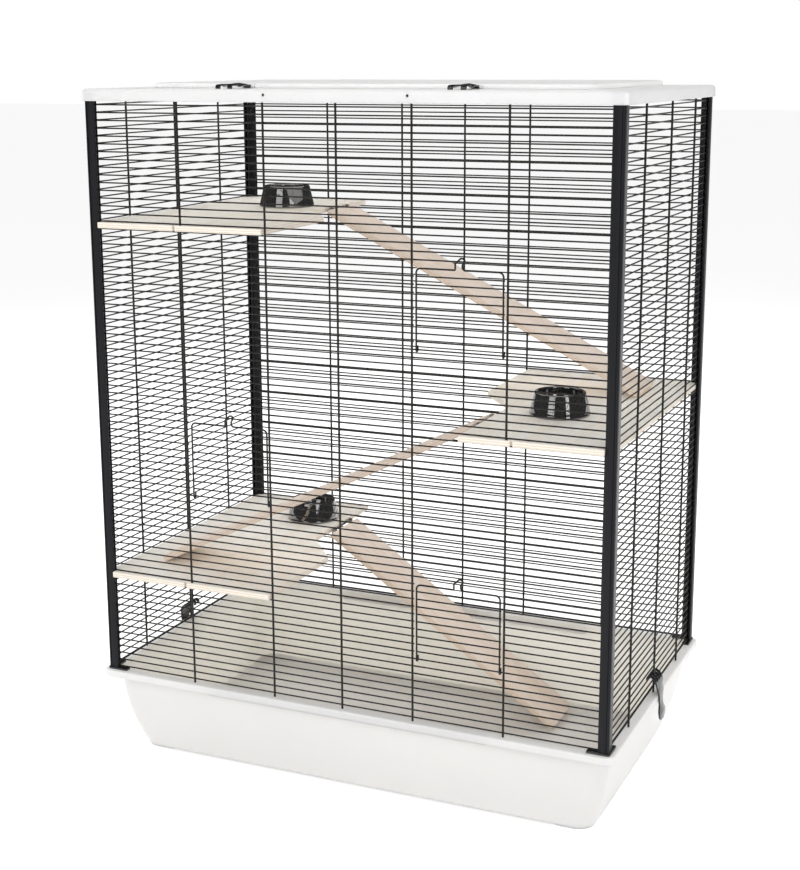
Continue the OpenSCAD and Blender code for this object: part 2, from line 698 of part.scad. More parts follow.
// Eyes on the shelf's edge and the pin through them
module ramp_hinge(i, side) {
  edge = side * (shelf_slim_x - ramp_axis);
  color(steel)
    translate([-edge, side * ramp_y, shelf_top(i) - ramp_t / 2]) {
      for (s = [-1, 1])
        translate([0, s * (ramp_w / 2 - 20), 0]) rotate([0, 0, side > 0 ? 180 : 0]) pin_eye(4);
      rotate([90, 0, 0]) cylinder(d = ramp_pin, h = ramp_w - 16, center = true);
    }
}

// Feeding bowl: straight tapering outside, round hollow, on a level foot
module bowl(at, i) {
  foot_r = bowl_foot_d / 2;
  top_r = bowl_top_d / 2;
  hollow_r = top_r - bowl_wall;
  hollow_h = bowl_h - 6;
  color(black)
    translate([at[0], at[1], shelf_top(i)])
      rotate_extrude($fn = 96)
        polygon(concat(
          [[0, 0], [foot_r - 1, 0], [foot_r, 1], [foot_r, 3], [top_r, bowl_h - 1], [top_r - 1, bowl_h],
            [hollow_r + 0.6, bowl_h]],
          [for (a = [0:9:90])
            [hollow_r * pow(cos(a), 0.6), bowl_h - 1.2 - (hollow_h - 1.2) * pow(sin(a), 0.8)]]));
}

// Ends of the cut bars beside the doors
cut_right = [upright_near + upright_d / 2, upright_far - upright_d / 2];
cut_left = [-upright_far + upright_d / 2, -upright_near - upright_d / 2];

tray();
side_clip(-1);  // side_clip_left
side_clip(1);  // side_clip_right
post(-1, -1);  // post_front_left
post(1, -1);  // post_front_right
post(-1, 1);  // post_back_left
post(1, 1);  // post_back_right
post_shoes();
front_bars(-bar_end_x, bar_end_x, 0, door_low_row);  // front_bars_bottom
front_bars(-bar_end_x, cut_right[0], door_low_row + 1, door_low_row + door_rows);  // front_bars_low_left
front_bars(cut_right[1], bar_end_x, door_low_row + 1, door_low_row + door_rows);  // front_bars_low_right
front_bars(-bar_end_x, bar_end_x, door_low_row + door_rows + 1, door_mid_row);  // front_bars_below_middle
front_bars(-bar_end_x, cut_left[0], door_mid_row + 1, door_mid_row + door_rows);  // front_bars_middle_left
front_bars(cut_left[1], bar_end_x, door_mid_row + 1, door_mid_row + door_rows);  // front_bars_middle_right
front_bars(-bar_end_x, bar_end_x, door_mid_row + door_rows + 1, door_high_row);  // front_bars_above_middle
front_bars(-bar_end_x, cut_right[0], door_high_row + 1, door_high_row + door_rows);  // front_bars_high_left
front_bars(cut_right[1], bar_end_x, door_high_row + 1, door_high_row + door_rows);  // front_bars_high_right
front_bars(-bar_end_x, bar_end_x, door_high_row + door_rows + 1, bar_rows - 1);  // front_bars_top
uprights([for (x = upright_xs) [x, upright_d / 2 - half_d]]);  // front_uprights
bars_x(bar_y, -bar_end_x, bar_end_x, 1, bar_rows - 1);  // back_bars
uprights([for (x = upright_xs) [x, half_d - upright_d / 2]]);  // back_uprights
side_bars(-1);  // left_bars
uprights([for (y = upright_ys) [upright_d / 2 - half_w, y]]);  // left_uprights
side_bars(1);  // right_bars
uprights([for (y = upright_ys) [half_w - upright_d / 2, y]]);  // right_uprights
bottom_rails();
door(bay_mid, door_low_row);  // door_lower_right
door(door_slid - bay_mid, door_mid_row);  // door_left
door(bay_mid, door_high_row);  // door_upper_right
lid_frame();
hatch();
hatch_hinge_pins();
roof_clip(-1);  // roof_clip_left
roof_clip(1);  // roof_clip_right
roof_clip_pins();
shelf(shelf_low_row, false);  // shelf_lower
shelf(shelf_mid_row, true);  // shelf_middle
shelf(shelf_high_row, false);  // shelf_upper
at_ramp(shelf_low_row, 1, ramp_low_run, floor_fall) ramp_board(ramp_length(ramp_low_run, floor_fall));  // ramp_lower
at_ramp(shelf_mid_row, -1, ramp_run, shelf_fall) ramp_board(ramp_length(ramp_run, shelf_fall));  // ramp_middle
at_ramp(shelf_high_row, 1, ramp_run, shelf_rise) ramp_board(ramp_length(ramp_run, shelf_rise));  // ramp_upper
at_ramp(shelf_low_row, 1, ramp_low_run, floor_fall) ramp_eyes();  // ramp_lower_eyes
at_ramp(shelf_mid_row, -1, ramp_run, shelf_fall) ramp_eyes();  // ramp_middle_eyes
at_ramp(shelf_high_row, 1, ramp_run, shelf_rise) ramp_eyes();  // ramp_upper_eyes
ramp_hinge(shelf_low_row, 1);  // ramp_lower_hinge
ramp_hinge(shelf_mid_row, -1);  // ramp_middle_hinge
ramp_hinge(shelf_high_row, 1);  // ramp_upper_hinge
bowl(bowl_low_at, shelf_low_row);  // bowl_lower
bowl(bowl_mid_at, shelf_mid_row);  // bowl_middle
bowl(bowl_high_at, shelf_high_row);  // bowl_upper
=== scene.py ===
"""Finishes, modelled shells and stage for the tall wire cage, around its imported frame."""
import json
import math

import bmesh
import bpy
from bpy.props import FloatProperty, FloatVectorProperty, IntProperty, PointerProperty
from mathutils import Matrix, Vector


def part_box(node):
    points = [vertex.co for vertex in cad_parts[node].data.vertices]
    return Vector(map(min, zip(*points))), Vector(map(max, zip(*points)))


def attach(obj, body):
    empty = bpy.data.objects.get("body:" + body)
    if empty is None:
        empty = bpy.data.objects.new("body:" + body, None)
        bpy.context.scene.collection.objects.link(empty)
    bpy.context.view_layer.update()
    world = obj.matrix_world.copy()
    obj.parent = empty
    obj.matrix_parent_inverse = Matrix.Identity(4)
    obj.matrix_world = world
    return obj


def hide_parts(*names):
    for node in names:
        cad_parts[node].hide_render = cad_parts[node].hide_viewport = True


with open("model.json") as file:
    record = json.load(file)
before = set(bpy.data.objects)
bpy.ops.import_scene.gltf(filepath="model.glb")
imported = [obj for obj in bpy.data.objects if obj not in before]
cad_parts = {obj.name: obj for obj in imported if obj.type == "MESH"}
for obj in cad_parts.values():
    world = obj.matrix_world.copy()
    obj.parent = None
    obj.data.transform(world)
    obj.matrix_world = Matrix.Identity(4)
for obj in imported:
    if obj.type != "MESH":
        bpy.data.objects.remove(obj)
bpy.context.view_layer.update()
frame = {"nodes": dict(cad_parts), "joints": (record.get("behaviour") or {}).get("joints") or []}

bl_info = {
    "name": "Wire cage finishes",
    "version": (1, 0, 0),
    "blender": (4, 5, 0),
    "location": "View3D > Sidebar > Cage",
    "description": "Builds the shells, boards, wires and finishes of a tall wire cage for small pets",
    "category": "Object",
}

MM = 0.001
PLY = 1.6 * MM
POST_ROUND = 2 * MM
LID_HEIGHT = 16.5 * MM
HATCH_FRONT = -155 * MM
HATCH_REAR = 190 * MM
HINGE_X = 165 * MM
HINGE_BORE = 1.58 * MM
CLIP_BORE = 1.08 * MM
CORNERS = ((-1, -1), (-1, 1), (1, -1), (1, 1))
IMAGE_SIZE = (800, 870)


# ---------------------------------------------------------------- places read from the frame

def low(node):
    """Lowest corner of a node at rest."""
    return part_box(node)[0]


def high(node):
    """Highest corner of a node at rest."""
    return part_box(node)[1]


RIM_TOP = high("tray").z
LID_BOTTOM = low("lid_frame").z
HALF_WIDTH = high("post_front_right").x
HALF_DEPTH = high("post_back_right").y
JOINTS = {joint["name"]: joint for joint in frame["joints"]}


# ---------------------------------------------------------------- sizes and colours

def length_property(name, description, millimetres):
    """A length of the scene, with its default in millimetres."""
    return FloatProperty(name=name, description=description, default=millimetres * MM, unit="LENGTH")


def colour_property(name, description, default):
    """A colour of the scene, with its default in linear values."""
    return FloatVectorProperty(name=name, description=description, subtype="COLOR", size=3,
                               default=default)


class CageSizes(bpy.types.PropertyGroup):
    """Lengths that shape the modelled pieces. They agree with the frame."""
    tray_wall: length_property("Tray wall", "Thickness of the tray's walls and floor", 2.5)
    tray_inset: length_property("Tray inset", "From the rim's outer edge to the wall below it", 14)
    tray_lean: length_property("Tray lean", "How far the tray's wall leans in towards its foot", 24)
    tray_curve: FloatProperty(
        name="Tray curve", description="Power of the curve of the tray's wall", default=1.9)
    tray_corner: length_property("Tray corner", "Plan radius of the corners of the tray's wall", 27)
    tray_edge: length_property(
        "Tray edge", "Radius of the edge between the tray's wall and floor", 3)
    foot_length: length_property("Foot length", "Length of the sides of the tray's feet", 52)
    rim_drop: length_property("Rim drop", "Height of the rim's skirt", 10.6)
    foot_height: length_property("Foot height", "Height of the tray's feet", 3)
    lid_wall: length_property("Lid wall", "Thickness of the lid and its hatch", 2.5)
    lid_round: length_property("Lid edge", "Radius of the lid's upper edge", 5)
    board_edge: length_property("Board edge", "Rounding of the edges of the wooden boards", 0.7)
    door_wire: length_property("Door wire", "Thickness of the wire of a door's frame", 2.4)
    bar_wire: length_property("Bar wire", "Thickness of the horizontal bars", 2)
    door_rows: IntProperty(
        name="Door rows", description="Height of a door in bars", default=10)
    bar_pitch: length_property("Bar pitch", "Distance from one bar to the next", 10.6)


class CageColours(bpy.types.PropertyGroup):
    """Colours of the cage's finishes, in linear values."""
    tray_outside: colour_property(
        "Tray outside", "Colour of the tray's outer face", (0.89, 0.88, 0.855))
    # The tray's inside colour is painted shade: the tray's own plastic, darkened and warmed where its
    # inner face lies in shade.
    tray_inside: colour_property(
        "Tray inside", "Colour of the tray's inner face", (0.88, 0.85, 0.79))
    lid: colour_property("Lid", "Colour of the lid and the hatch", (0.93, 0.925, 0.905))
    post: colour_property("Posts", "Colour of the corner posts", (0.006, 0.0065, 0.009))
    wire: colour_property("Wires", "Colour of the coated wires", (0.011, 0.0095, 0.008))
    shelf: colour_property("Shelves", "Main colour of the shelves' boards", (0.99, 0.93, 0.88))
    ramp: colour_property("Ramps", "Main colour of the ramps' boards", (0.86, 0.755, 0.68))
    bowl: colour_property("Bowls", "Colour of the bowls", (0.008, 0.0078, 0.0075))
    clip: colour_property("Clips", "Colour of the clips and shoes", (0.009, 0.009, 0.011))
    steel: colour_property("Steel", "Colour of the hinge pins and eyes", (0.6, 0.6, 0.6))
    floor: colour_property("Floor", "Colour of the floor", (0.8, 0.8, 0.8))


def sizes():
    """The scene's lengths."""
    return bpy.context.scene.cage_sizes


def colours():
    """The scene's colours."""
    return bpy.context.scene.cage_colours


# ---------------------------------------------------------------- shader expressions

class Signal:
    """A shader socket that takes part in sums, so that node maths reads as an expression."""

    def __init__(self, tree, socket):
        self.tree = tree
        self.socket = socket

    def other(self, name):
        """Another output of the node that this signal comes from."""
        return Signal(self.tree, self.socket.node.outputs[name])

    def maths(self, operation, *values):
        """The Math node that works out operation on the given values."""
        return self.tree.add("ShaderNodeMath", {"operation": operation}, list(values))

    def __add__(self, other):
        return self.maths("ADD", self, other)

    def __radd__(self, other):
        return self.maths("ADD", other, self)

    def __sub__(self, other):
        return self.maths("SUBTRACT", self, other)

    def __rsub__(self, other):
        return self.maths("SUBTRACT", other, self)

    def __mul__(self, other):
        return self.maths("MULTIPLY", self, other)

    def __rmul__(self, other):
        return self.maths("MULTIPLY", other, self)

    def __truediv__(self, other):
        return self.maths("DIVIDE", self, other)

    def __rtruediv__(self, other):
        return self.maths("DIVIDE", other, self)

    def __abs__(self):
        return self.maths("ABSOLUTE", self)


class Tree:
    """A node tree under construction. Every node comes from add."""

    def __init__(self, node_tree):
        self.nodes = node_tree.nodes
        self.links = node_tree.links

    def kept(self, kind):
        """The node of this kind that the tree came with."""
        return next(node for node in self.nodes if node.type == kind)

    def put(self, socket, value):
        """Feeds a socket with a link or a constant."""
        if isinstance(value, Signal):
            self.links.new(value.socket, socket)
        elif socket.type == "RGBA":
            socket.default_value = (*value[:3], 1)
        else:
            socket.default_value = value

    def add(self, kind, settings=None, inputs=None, output=0):
        """A node of this kind with its settings and its inputs, as a signal."""
        node = self.nodes.new(kind)
        for key, value in (settings or {}).items():
            if key == "stops":
                self.fill_ramp(node.color_ramp, value)
            else:
                setattr(node, key, value)
        pairs = enumerate(inputs) if isinstance(inputs, list) else (inputs or {}).items()
        for key, value in pairs:
            self.put(node.inputs[key], value)
        return Signal(self, node.outputs[output])

    def split(self, vector, axis):
        """One coordinate of a vector."""
        return self.add("ShaderNodeSeparateXYZ", None, [vector], axis)

    def seen_by(self, *kinds):
        """1 for the rays of these kinds, and 0 for any other."""
        path = self.add("ShaderNodeLightPath")
        found = path.other(f"Is {kinds[0]} Ray")
        for kind in kinds[1:]:
            found = found.maths("MAXIMUM", found, path.other(f"Is {kind} Ray"))
        return found

    @staticmethod
    def fill_ramp(ramp, stops):
        """Sets the stops of a colour ramp from (place, grey level) pairs."""
        for i, (place, level) in enumerate(stops):
            element = ramp.elements[i] if i < len(ramp.elements) else ramp.elements.new(place)
            element.position = place
            element.color = (level, level, level, 1)


class Finish(Tree):
    """A material under construction: its node tree and its main shader."""

    def __init__(self, name):
        self.material = bpy.data.materials.new(name)
        self.material.use_nodes = True
        super().__init__(self.material.node_tree)
        self.shader = self.kept("BSDF_PRINCIPLED")

    def noise(self, vector, scale, detail=2.0, roughness=0.5, distortion=0.0):
        """Noise between about 0.3 and 0.7 over the given coordinates."""
        return self.add("ShaderNodeTexNoise", None, {
            "Vector": vector, "Scale": scale, "Detail": detail, "Roughness": roughness,
            "Distortion": distortion})

    def stretched(self, vector, factors):
        """The coordinates multiplied by a factor along each axis."""
        return self.add("ShaderNodeVectorMath", {"operation": "MULTIPLY"}, [vector, factors])

    def blend(self, share, first, second):
        """A colour between two colours. Inputs 6 and 7 and output 2 of a mix node are its colours."""
        return self.add("ShaderNodeMix", {"data_type": "RGBA"}, {0: share, 6: first, 7: second}, 2)

    def ramp(self, value, stops):
        """A grey level that follows the stops as the value goes from 0 to 1."""
        return self.add("ShaderNodeValToRGB", {"stops": stops}, {"Fac": value})

    def places(self):
        """Coordinates of the object, in metres."""
        return self.add("ShaderNodeTexCoord", output="Object")

    def bump(self, height, distance, strength=1.0):
        """Gives the main shader a bumpy normal."""
        self.put(self.shader.inputs["Normal"], self.add("ShaderNodeBump", None, {
            "Strength": strength, "Distance": distance, "Height": height}))

    def set(self, **values):
        """Feeds the main shader's sockets, with underscores for spaces in their names."""
        for key, value in values.items():
            self.put(self.shader.inputs[key.replace("_", " ")], value)


MATERIALS = {}


def toned(colour, *factors):
    """The colour with its channels multiplied, by one factor or by one each, and kept below 1."""
    return tuple(min(1, c * factors[i % len(factors)]) for i, c in enumerate(colour))


def moulded_white(name, outside, inside=None):
    """Moulded plastic: faint mottling, soft gloss, a fine grain, and painted shade on the inner face: a
    warmer, darker colour there, strongest near the walls.
    """
    finish = Finish(name)
    at = finish.places()
    mottle = finish.noise(at, 9, 3)
    base = finish.blend(mottle, toned(outside, 0.985), toned(outside, 1.012))
    # Painted shade: below the rim, faces that look into the tray take the darker, warmer inside colour,
    # fully near the walls and a little less in the middle of the floor.
    if inside is not None:
        across = abs(finish.split(at, "X")) / HALF_WIDTH
        along = abs(finish.split(at, "Y")) / HALF_DEPTH
        below_rim = finish.ramp((RIM_TOP - finish.split(at, "Z")) / RIM_TOP, [(0.0, 0), (0.035, 1)])
        facing = finish.add("ShaderNodeNewGeometry", output="Normal")
        towards_middle = finish.add("ShaderNodeVectorMath", {"operation": "DOT_PRODUCT"}, [
            facing, finish.stretched(at, (-1 / HALF_WIDTH, -1 / HALF_DEPTH, 0))], "Value")
        inner = finish.ramp(towards_middle + finish.split(facing, "Z"), [(0.02, 0), (0.2, 1)])
        edge = finish.ramp(across.maths("MAXIMUM", across, along), [(0.6, 0.86), (1.0, 1)])
        base = finish.blend(inner * below_rim * edge, base, inside)
    finish.set(Base_Color=base, Roughness=finish.noise(at, 60, 3) * 0.12 + 0.3,
               Specular_IOR_Level=0.45, Subsurface_Weight=0.8, Subsurface_Scale=0.008,
               Subsurface_Radius=(1.0, 1.0, 0.9))
    finish.bump(finish.noise(at, 900, 2), 0.00006, 0.35)
    return finish.material


def extruded_charcoal(name, colour):
    """Extruded plastic: satin gloss with faint streaks along its length."""
    finish = Finish(name)
    at = finish.places()
    streaks = finish.noise(finish.stretched(at, (1, 1, 0.012)), 700, 3)
    finish.set(Base_Color=finish.blend(streaks, toned(colour, 0.8), toned(colour, 1.25)),
               Roughness=streaks * 0.14 + 0.24, Specular_IOR_Level=0.25)
    finish.bump(streaks, 0.00005, 0.5)
    return finish.material


def coated_wire(name, colour):
    """Glossy coating on wire, a little uneven, with thinner coating here and there."""
    finish = Finish(name)
    at = finish.places()
    run = finish.noise(at, 130, 2)
    finish.set(Base_Color=finish.blend(run, colour, toned(colour, 1.4)),
               Roughness=finish.noise(at, 400, 2) * 0.2 + 0.2, Specular_IOR_Level=0.3)
    finish.bump(run, 0.00012, 0.4)
    return finish.material


def glossy_black(name, colour, roughness=0.06, coat=0.0):
    """Glossy moulded plastic with very fine scratches."""
    finish = Finish(name)
    at = finish.places()
    scratches = finish.noise(finish.stretched(at, (1, 1, 4)), 900, 4, 0.7)
    finish.set(Base_Color=finish.blend(finish.noise(at, 40), colour, toned(colour, 1.5)),
               Roughness=finish.ramp(scratches, [(0.45, 0), (0.8, 1)]) * 0.18 + roughness,
               Specular_IOR_Level=0.8, Coat_Weight=coat, Coat_Roughness=0.03, Coat_IOR=2.8)
    finish.bump(finish.noise(at, 55, 2), 0.00015, 0.15)
    return finish.material


def plated_steel(name, colour):
    """Plated steel with fine brushing."""
    finish = Finish(name)
    at = finish.places()
    brushing = finish.noise(finish.stretched(at, (0.2, 1, 1)), 2500, 2)
    finish.set(Base_Color=finish.blend(finish.noise(at, 300), colour, toned(colour, 0.75)),
               Roughness=brushing * 0.2 + 0.2, Metallic=1.0)
    finish.bump(brushing, 0.00003, 0.4)
    return finish.material


def sanded_wood(name, colour):
    """Pale plywood: long grain with soft rings and pores on its faces, plies on its edges.
    The board attribute holds each point's place in the board, with the grain along X."""
    finish = Finish(name)
    at = finish.add("ShaderNodeAttribute", {"attribute_name": "board"}, None, "Vector")
    warp = finish.noise(finish.stretched(at, (3, 14, 14)), 1.0, 2)
    rings_at = finish.add("ShaderNodeVectorMath", {"operation": "MULTIPLY_ADD"}, [
        finish.add("ShaderNodeCombineXYZ", None, [warp, warp, warp]), (0.1, 0.09, 0.1),
        finish.stretched(at, (0.22, 1, 1))])
    rings = finish.noise(rings_at, 42, 4, 0.55)
    fibres = finish.noise(finish.stretched(at, (6, 160, 160)), 3.2, 4, 0.7)
    pores = finish.noise(finish.stretched(at, (25, 420, 420)), 1.6, 2)
    pores = finish.ramp(pores, [(0.62, 0), (0.72, 1)])
    shade = finish.ramp(rings, [(0.36, 0), (0.5, 0.4), (0.64, 1)])
    lighter = toned(colour, 1.06)
    face = finish.blend(shade * 0.4 + fibres * 0.2, lighter, toned(colour, 0.9, 0.82, 0.7))
    face = finish.blend(pores * 0.2, face, toned(colour, 0.6, 0.45, 0.3))
    layer = finish.split(at, "Z") / PLY
    plies = finish.ramp(layer.maths("PINGPONG", layer, 1.0), [(0.35, 0), (0.6, 1)])
    layers = finish.blend(plies * 0.5 + fibres * 0.25, lighter, toned(colour, 0.82, 0.68, 0.5))
    side = finish.add("ShaderNodeAttribute", {"attribute_name": "edge"}, None, "Fac")
    finish.set(Base_Color=finish.blend(side, face, layers), Roughness=fibres * 0.25 + 0.5,
               Specular_IOR_Level=0.3)
    finish.bump(fibres * 0.6 + rings * 0.4 - pores * 0.5, 0.00022, 0.5)
    return finish.material


def make_materials():
    """Fills MATERIALS with every finish of the cage."""
    c = colours()
    for key, maker, name, *settings in (
            ("tray", moulded_white, "tray_plastic", c.tray_outside, c.tray_inside),
            ("lid", moulded_white, "lid_plastic", c.lid),
            ("post", extruded_charcoal, "post_plastic", c.post),
            ("wire", coated_wire, "wire_coating", c.wire),
            ("shelf", sanded_wood, "shelf_board", c.shelf),
            ("ramp", sanded_wood, "ramp_board", c.ramp),
            ("bowl", glossy_black, "bowl_gloss", c.bowl, 0.04, 1.0),
            ("clip", glossy_black, "clip_gloss", c.clip, 0.12),
            ("steel", plated_steel, "plated_steel", c.steel)):
        MATERIALS[key] = maker(name, *settings)


# ---------------------------------------------------------------- mesh tools

def shell_object(name, points, faces, body, slot, material, smooth=32):
    """A mesh object in place, with its finish and its body. The slot argument is not used."""
    mesh = bpy.data.meshes.new(name)
    mesh.from_pydata([tuple(p) for p in points], [], faces)
    mesh.validate()
    build = bmesh.new()
    build.from_mesh(mesh)
    bmesh.ops.remove_doubles(build, verts=build.verts, dist=1e-7)
    bmesh.ops.recalc_face_normals(build, faces=build.faces)
    build.to_mesh(mesh)
    build.free()
    obj = bpy.data.objects.new(name, mesh)
    bpy.context.scene.collection.objects.link(obj)
    mesh.materials.append(MATERIALS[material])
    soften_shading(mesh, smooth)
    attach(obj, body)
    return obj


def soften_shading(mesh, angle):
    """Shades a mesh smoothly, except over edges sharper than the angle in degrees."""
    mesh.shade_smooth()
    mesh.set_sharp_from_angle(angle=math.radians(angle))


def apply_modifiers(obj, smooth=32):
    """Turns an object's modifiers into its mesh."""
    bpy.context.view_layer.update()
    graph = bpy.context.evaluated_depsgraph_get()
    mesh = bpy.data.meshes.new_from_object(obj.evaluated_get(graph))
    obj.modifiers.clear()
    obj.data = mesh
    soften_shading(mesh, smooth)


def arc(centre, radius, start, end, steps):
    """Points (x, y) of an arc from the start angle to the end angle, in degrees."""
    return [(centre[0] + radius * math.cos(math.radians(start + (end - start) * i / steps)),
             centre[1] + radius * math.sin(math.radians(start + (end - start) * i / steps)))
            for i in range(steps + 1)]


def corner_ring(half_x, half_y, radius, z, steps=10, y_shift=0.0):
    """Ring of a level rectangle with round corners, round the middle of the cage."""
    radius = max(radius, 0.2 * MM)
    ring = []
    for sx, sy, start in ((1, 1, 0), (-1, 1, 90), (-1, -1, 180), (1, -1, 270)):
        centre = (sx * (half_x - radius), sy * (half_y - radius) + y_shift)
        ring += [Vector((x, y, z)) for x, y in arc(centre, radius, start, start + 90, steps)]
    return ring


def quarter(radius, degrees):
    """How far a rounded edge lies in from its side and down from its top, at an angle up its arc."""
    turn = math.radians(degrees)
    return radius * (1 - math.cos(turn)), radius * (1 - math.sin(turn))


def loft(rings, closed=False):
    """Points and faces of a shell through rings of equal length, with end caps unless it is closed."""
    count = len(rings[0])
    points = [p for ring in rings for p in ring]
    faces = []
    for j in range(len(rings) if closed else len(rings) - 1):
        a = j * count
        b = ((j + 1) % len(rings)) * count
        for i in range(count):
            k = (i + 1) % count
            faces.append((a + i, a + k, b + k, b + i))
    if not closed:
        faces.append(tuple(reversed(range(count))))
        faces.append(tuple(range(len(points) - count, len(points))))
    return points, faces


def joined(*shells):
    """Points and faces of several shells as one list."""
    points = []
    faces = []
    for shell_points, shell_faces in shells:
        faces += [tuple(i + len(points) for i in face) for face in shell_faces]
        points += shell_points
    return points, faces


def rounded_line(points, radii, steps=5):
    """The line with each inner corner rounded to its radius by an arc."""
    points = [Vector(p) for p in points]
    line = [points[0]]
    for i in range(1, len(points) - 1):
        before = (points[i] - points[i - 1]).normalized()
        after = (points[i + 1] - points[i]).normalized()
        turn = before.angle(after)
        if turn < 1e-4 or radii[i] <= 0:
            line.append(points[i])
            continue
        side = (after - after.dot(before) * before).normalized()
        middle = points[i] - before * radii[i] * math.tan(turn / 2) + side * radii[i]
        for j in range(steps + 1):
            angle = turn * j / steps
            line.append(middle + (before * math.sin(angle) - side * math.cos(angle)) * radii[i])
    line.append(points[-1])
    kept = [line[0]]
    for p in line[1:]:
        if (p - kept[-1]).length > 0.01 * MM:
            kept.append(p)
    return kept


def tube(line, radius, sides=12):
    """Round tube along a line of points, its ends domed."""
    line = [Vector(p) for p in line]
    first = (line[1] - line[0]).normalized()
    last = (line[-1] - line[-2]).normalized()
    dome = [(0.6 * radius * (1 - math.sqrt(1 - share * share)), radius * share)
            for share in (0.3, 0.7, 0.93, 1)]
    stations = [(line[0] + first * depth, size) for depth, size in dome]
    stations += [(p, radius) for p in line[1:-1]]
    stations += [(line[-1] - last * depth, size) for depth, size in reversed(dome)]
    rings = []
    normal = first.orthogonal().normalized()
    for i, (centre, size) in enumerate(stations):
        behind = stations[max(i - 1, 0)][0]
        ahead = stations[min(i + 1, len(stations) - 1)][0]
        direction = (ahead - behind).normalized()
        normal = (normal - normal.dot(direction) * direction).normalized()
        across = direction.cross(normal)
        rings.append([centre + (normal * x + across * y) * size
                      for x, y in arc((0, 0), 1, 0, 360, sides)[:-1]])
    return loft(rings)


def lathe(profile, centre, segments=96):
    """Solid of revolution round a vertical axis, from (radius, height) points."""
    points = []
    faces = []
    count = len(profile)
    for i in range(segments):
        angle = 2 * math.pi * i / segments
        for radius, z in profile:
            points.append(Vector((centre[0] + radius * math.cos(angle),
                                  centre[1] + radius * math.sin(angle), centre[2] + z)))
    for i in range(segments):
        k = (i + 1) % segments
        for j in range(count - 1):
            faces.append((i * count + j, k * count + j, k * count + j + 1, i * count + j + 1))
    return points, faces


def board_object(name, outline, low_z, thickness, place, body, slot, material, grain_turn=0.0):
    """Wooden board: an outline with thickness, its edges eased, its grain marked for its finish."""
    count = len(outline)
    points = [Vector((x, y, z)) for z in (low_z, low_z + thickness) for x, y in outline]
    faces = [tuple(reversed(range(count))), tuple(range(count, 2 * count))]
    faces += [(i, (i + 1) % count, (i + 1) % count + count, i + count) for i in range(count)]
    obj = shell_object(name, points, faces, body, slot, material)
    bevel = obj.modifiers.new("eased_edges", "BEVEL")
    bevel.width = sizes().board_edge
    bevel.segments = 3
    bevel.limit_method = "ANGLE"
    bevel.angle_limit = math.radians(40)
    apply_modifiers(obj)
    mesh = obj.data
    turn = Matrix.Rotation(grain_turn, 4, "Z")
    mesh.attributes.new("board", "FLOAT_VECTOR", "POINT")
    mesh.attributes.new("edge", "FLOAT", "POINT")
    board = mesh.attributes["board"].data
    edge = mesh.attributes["edge"].data
    for i, vertex in enumerate(mesh.vertices):
        board[i].vector = turn @ vertex.co + Vector((0, 0, -low_z))
        inside = min(vertex.co.z - low_z, low_z + thickness - vertex.co.z)
        edge[i].value = 1.0 if inside > 0.3 * sizes().board_edge else 0.0
    mesh.transform(place)
    return obj


def finish_nodes(material, *names):
    """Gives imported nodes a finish."""
    for name in names:
        slots = frame["nodes"][name].data.materials
        slots.clear()
        slots.append(MATERIALS[material])


# ---------------------------------------------------------------- pieces

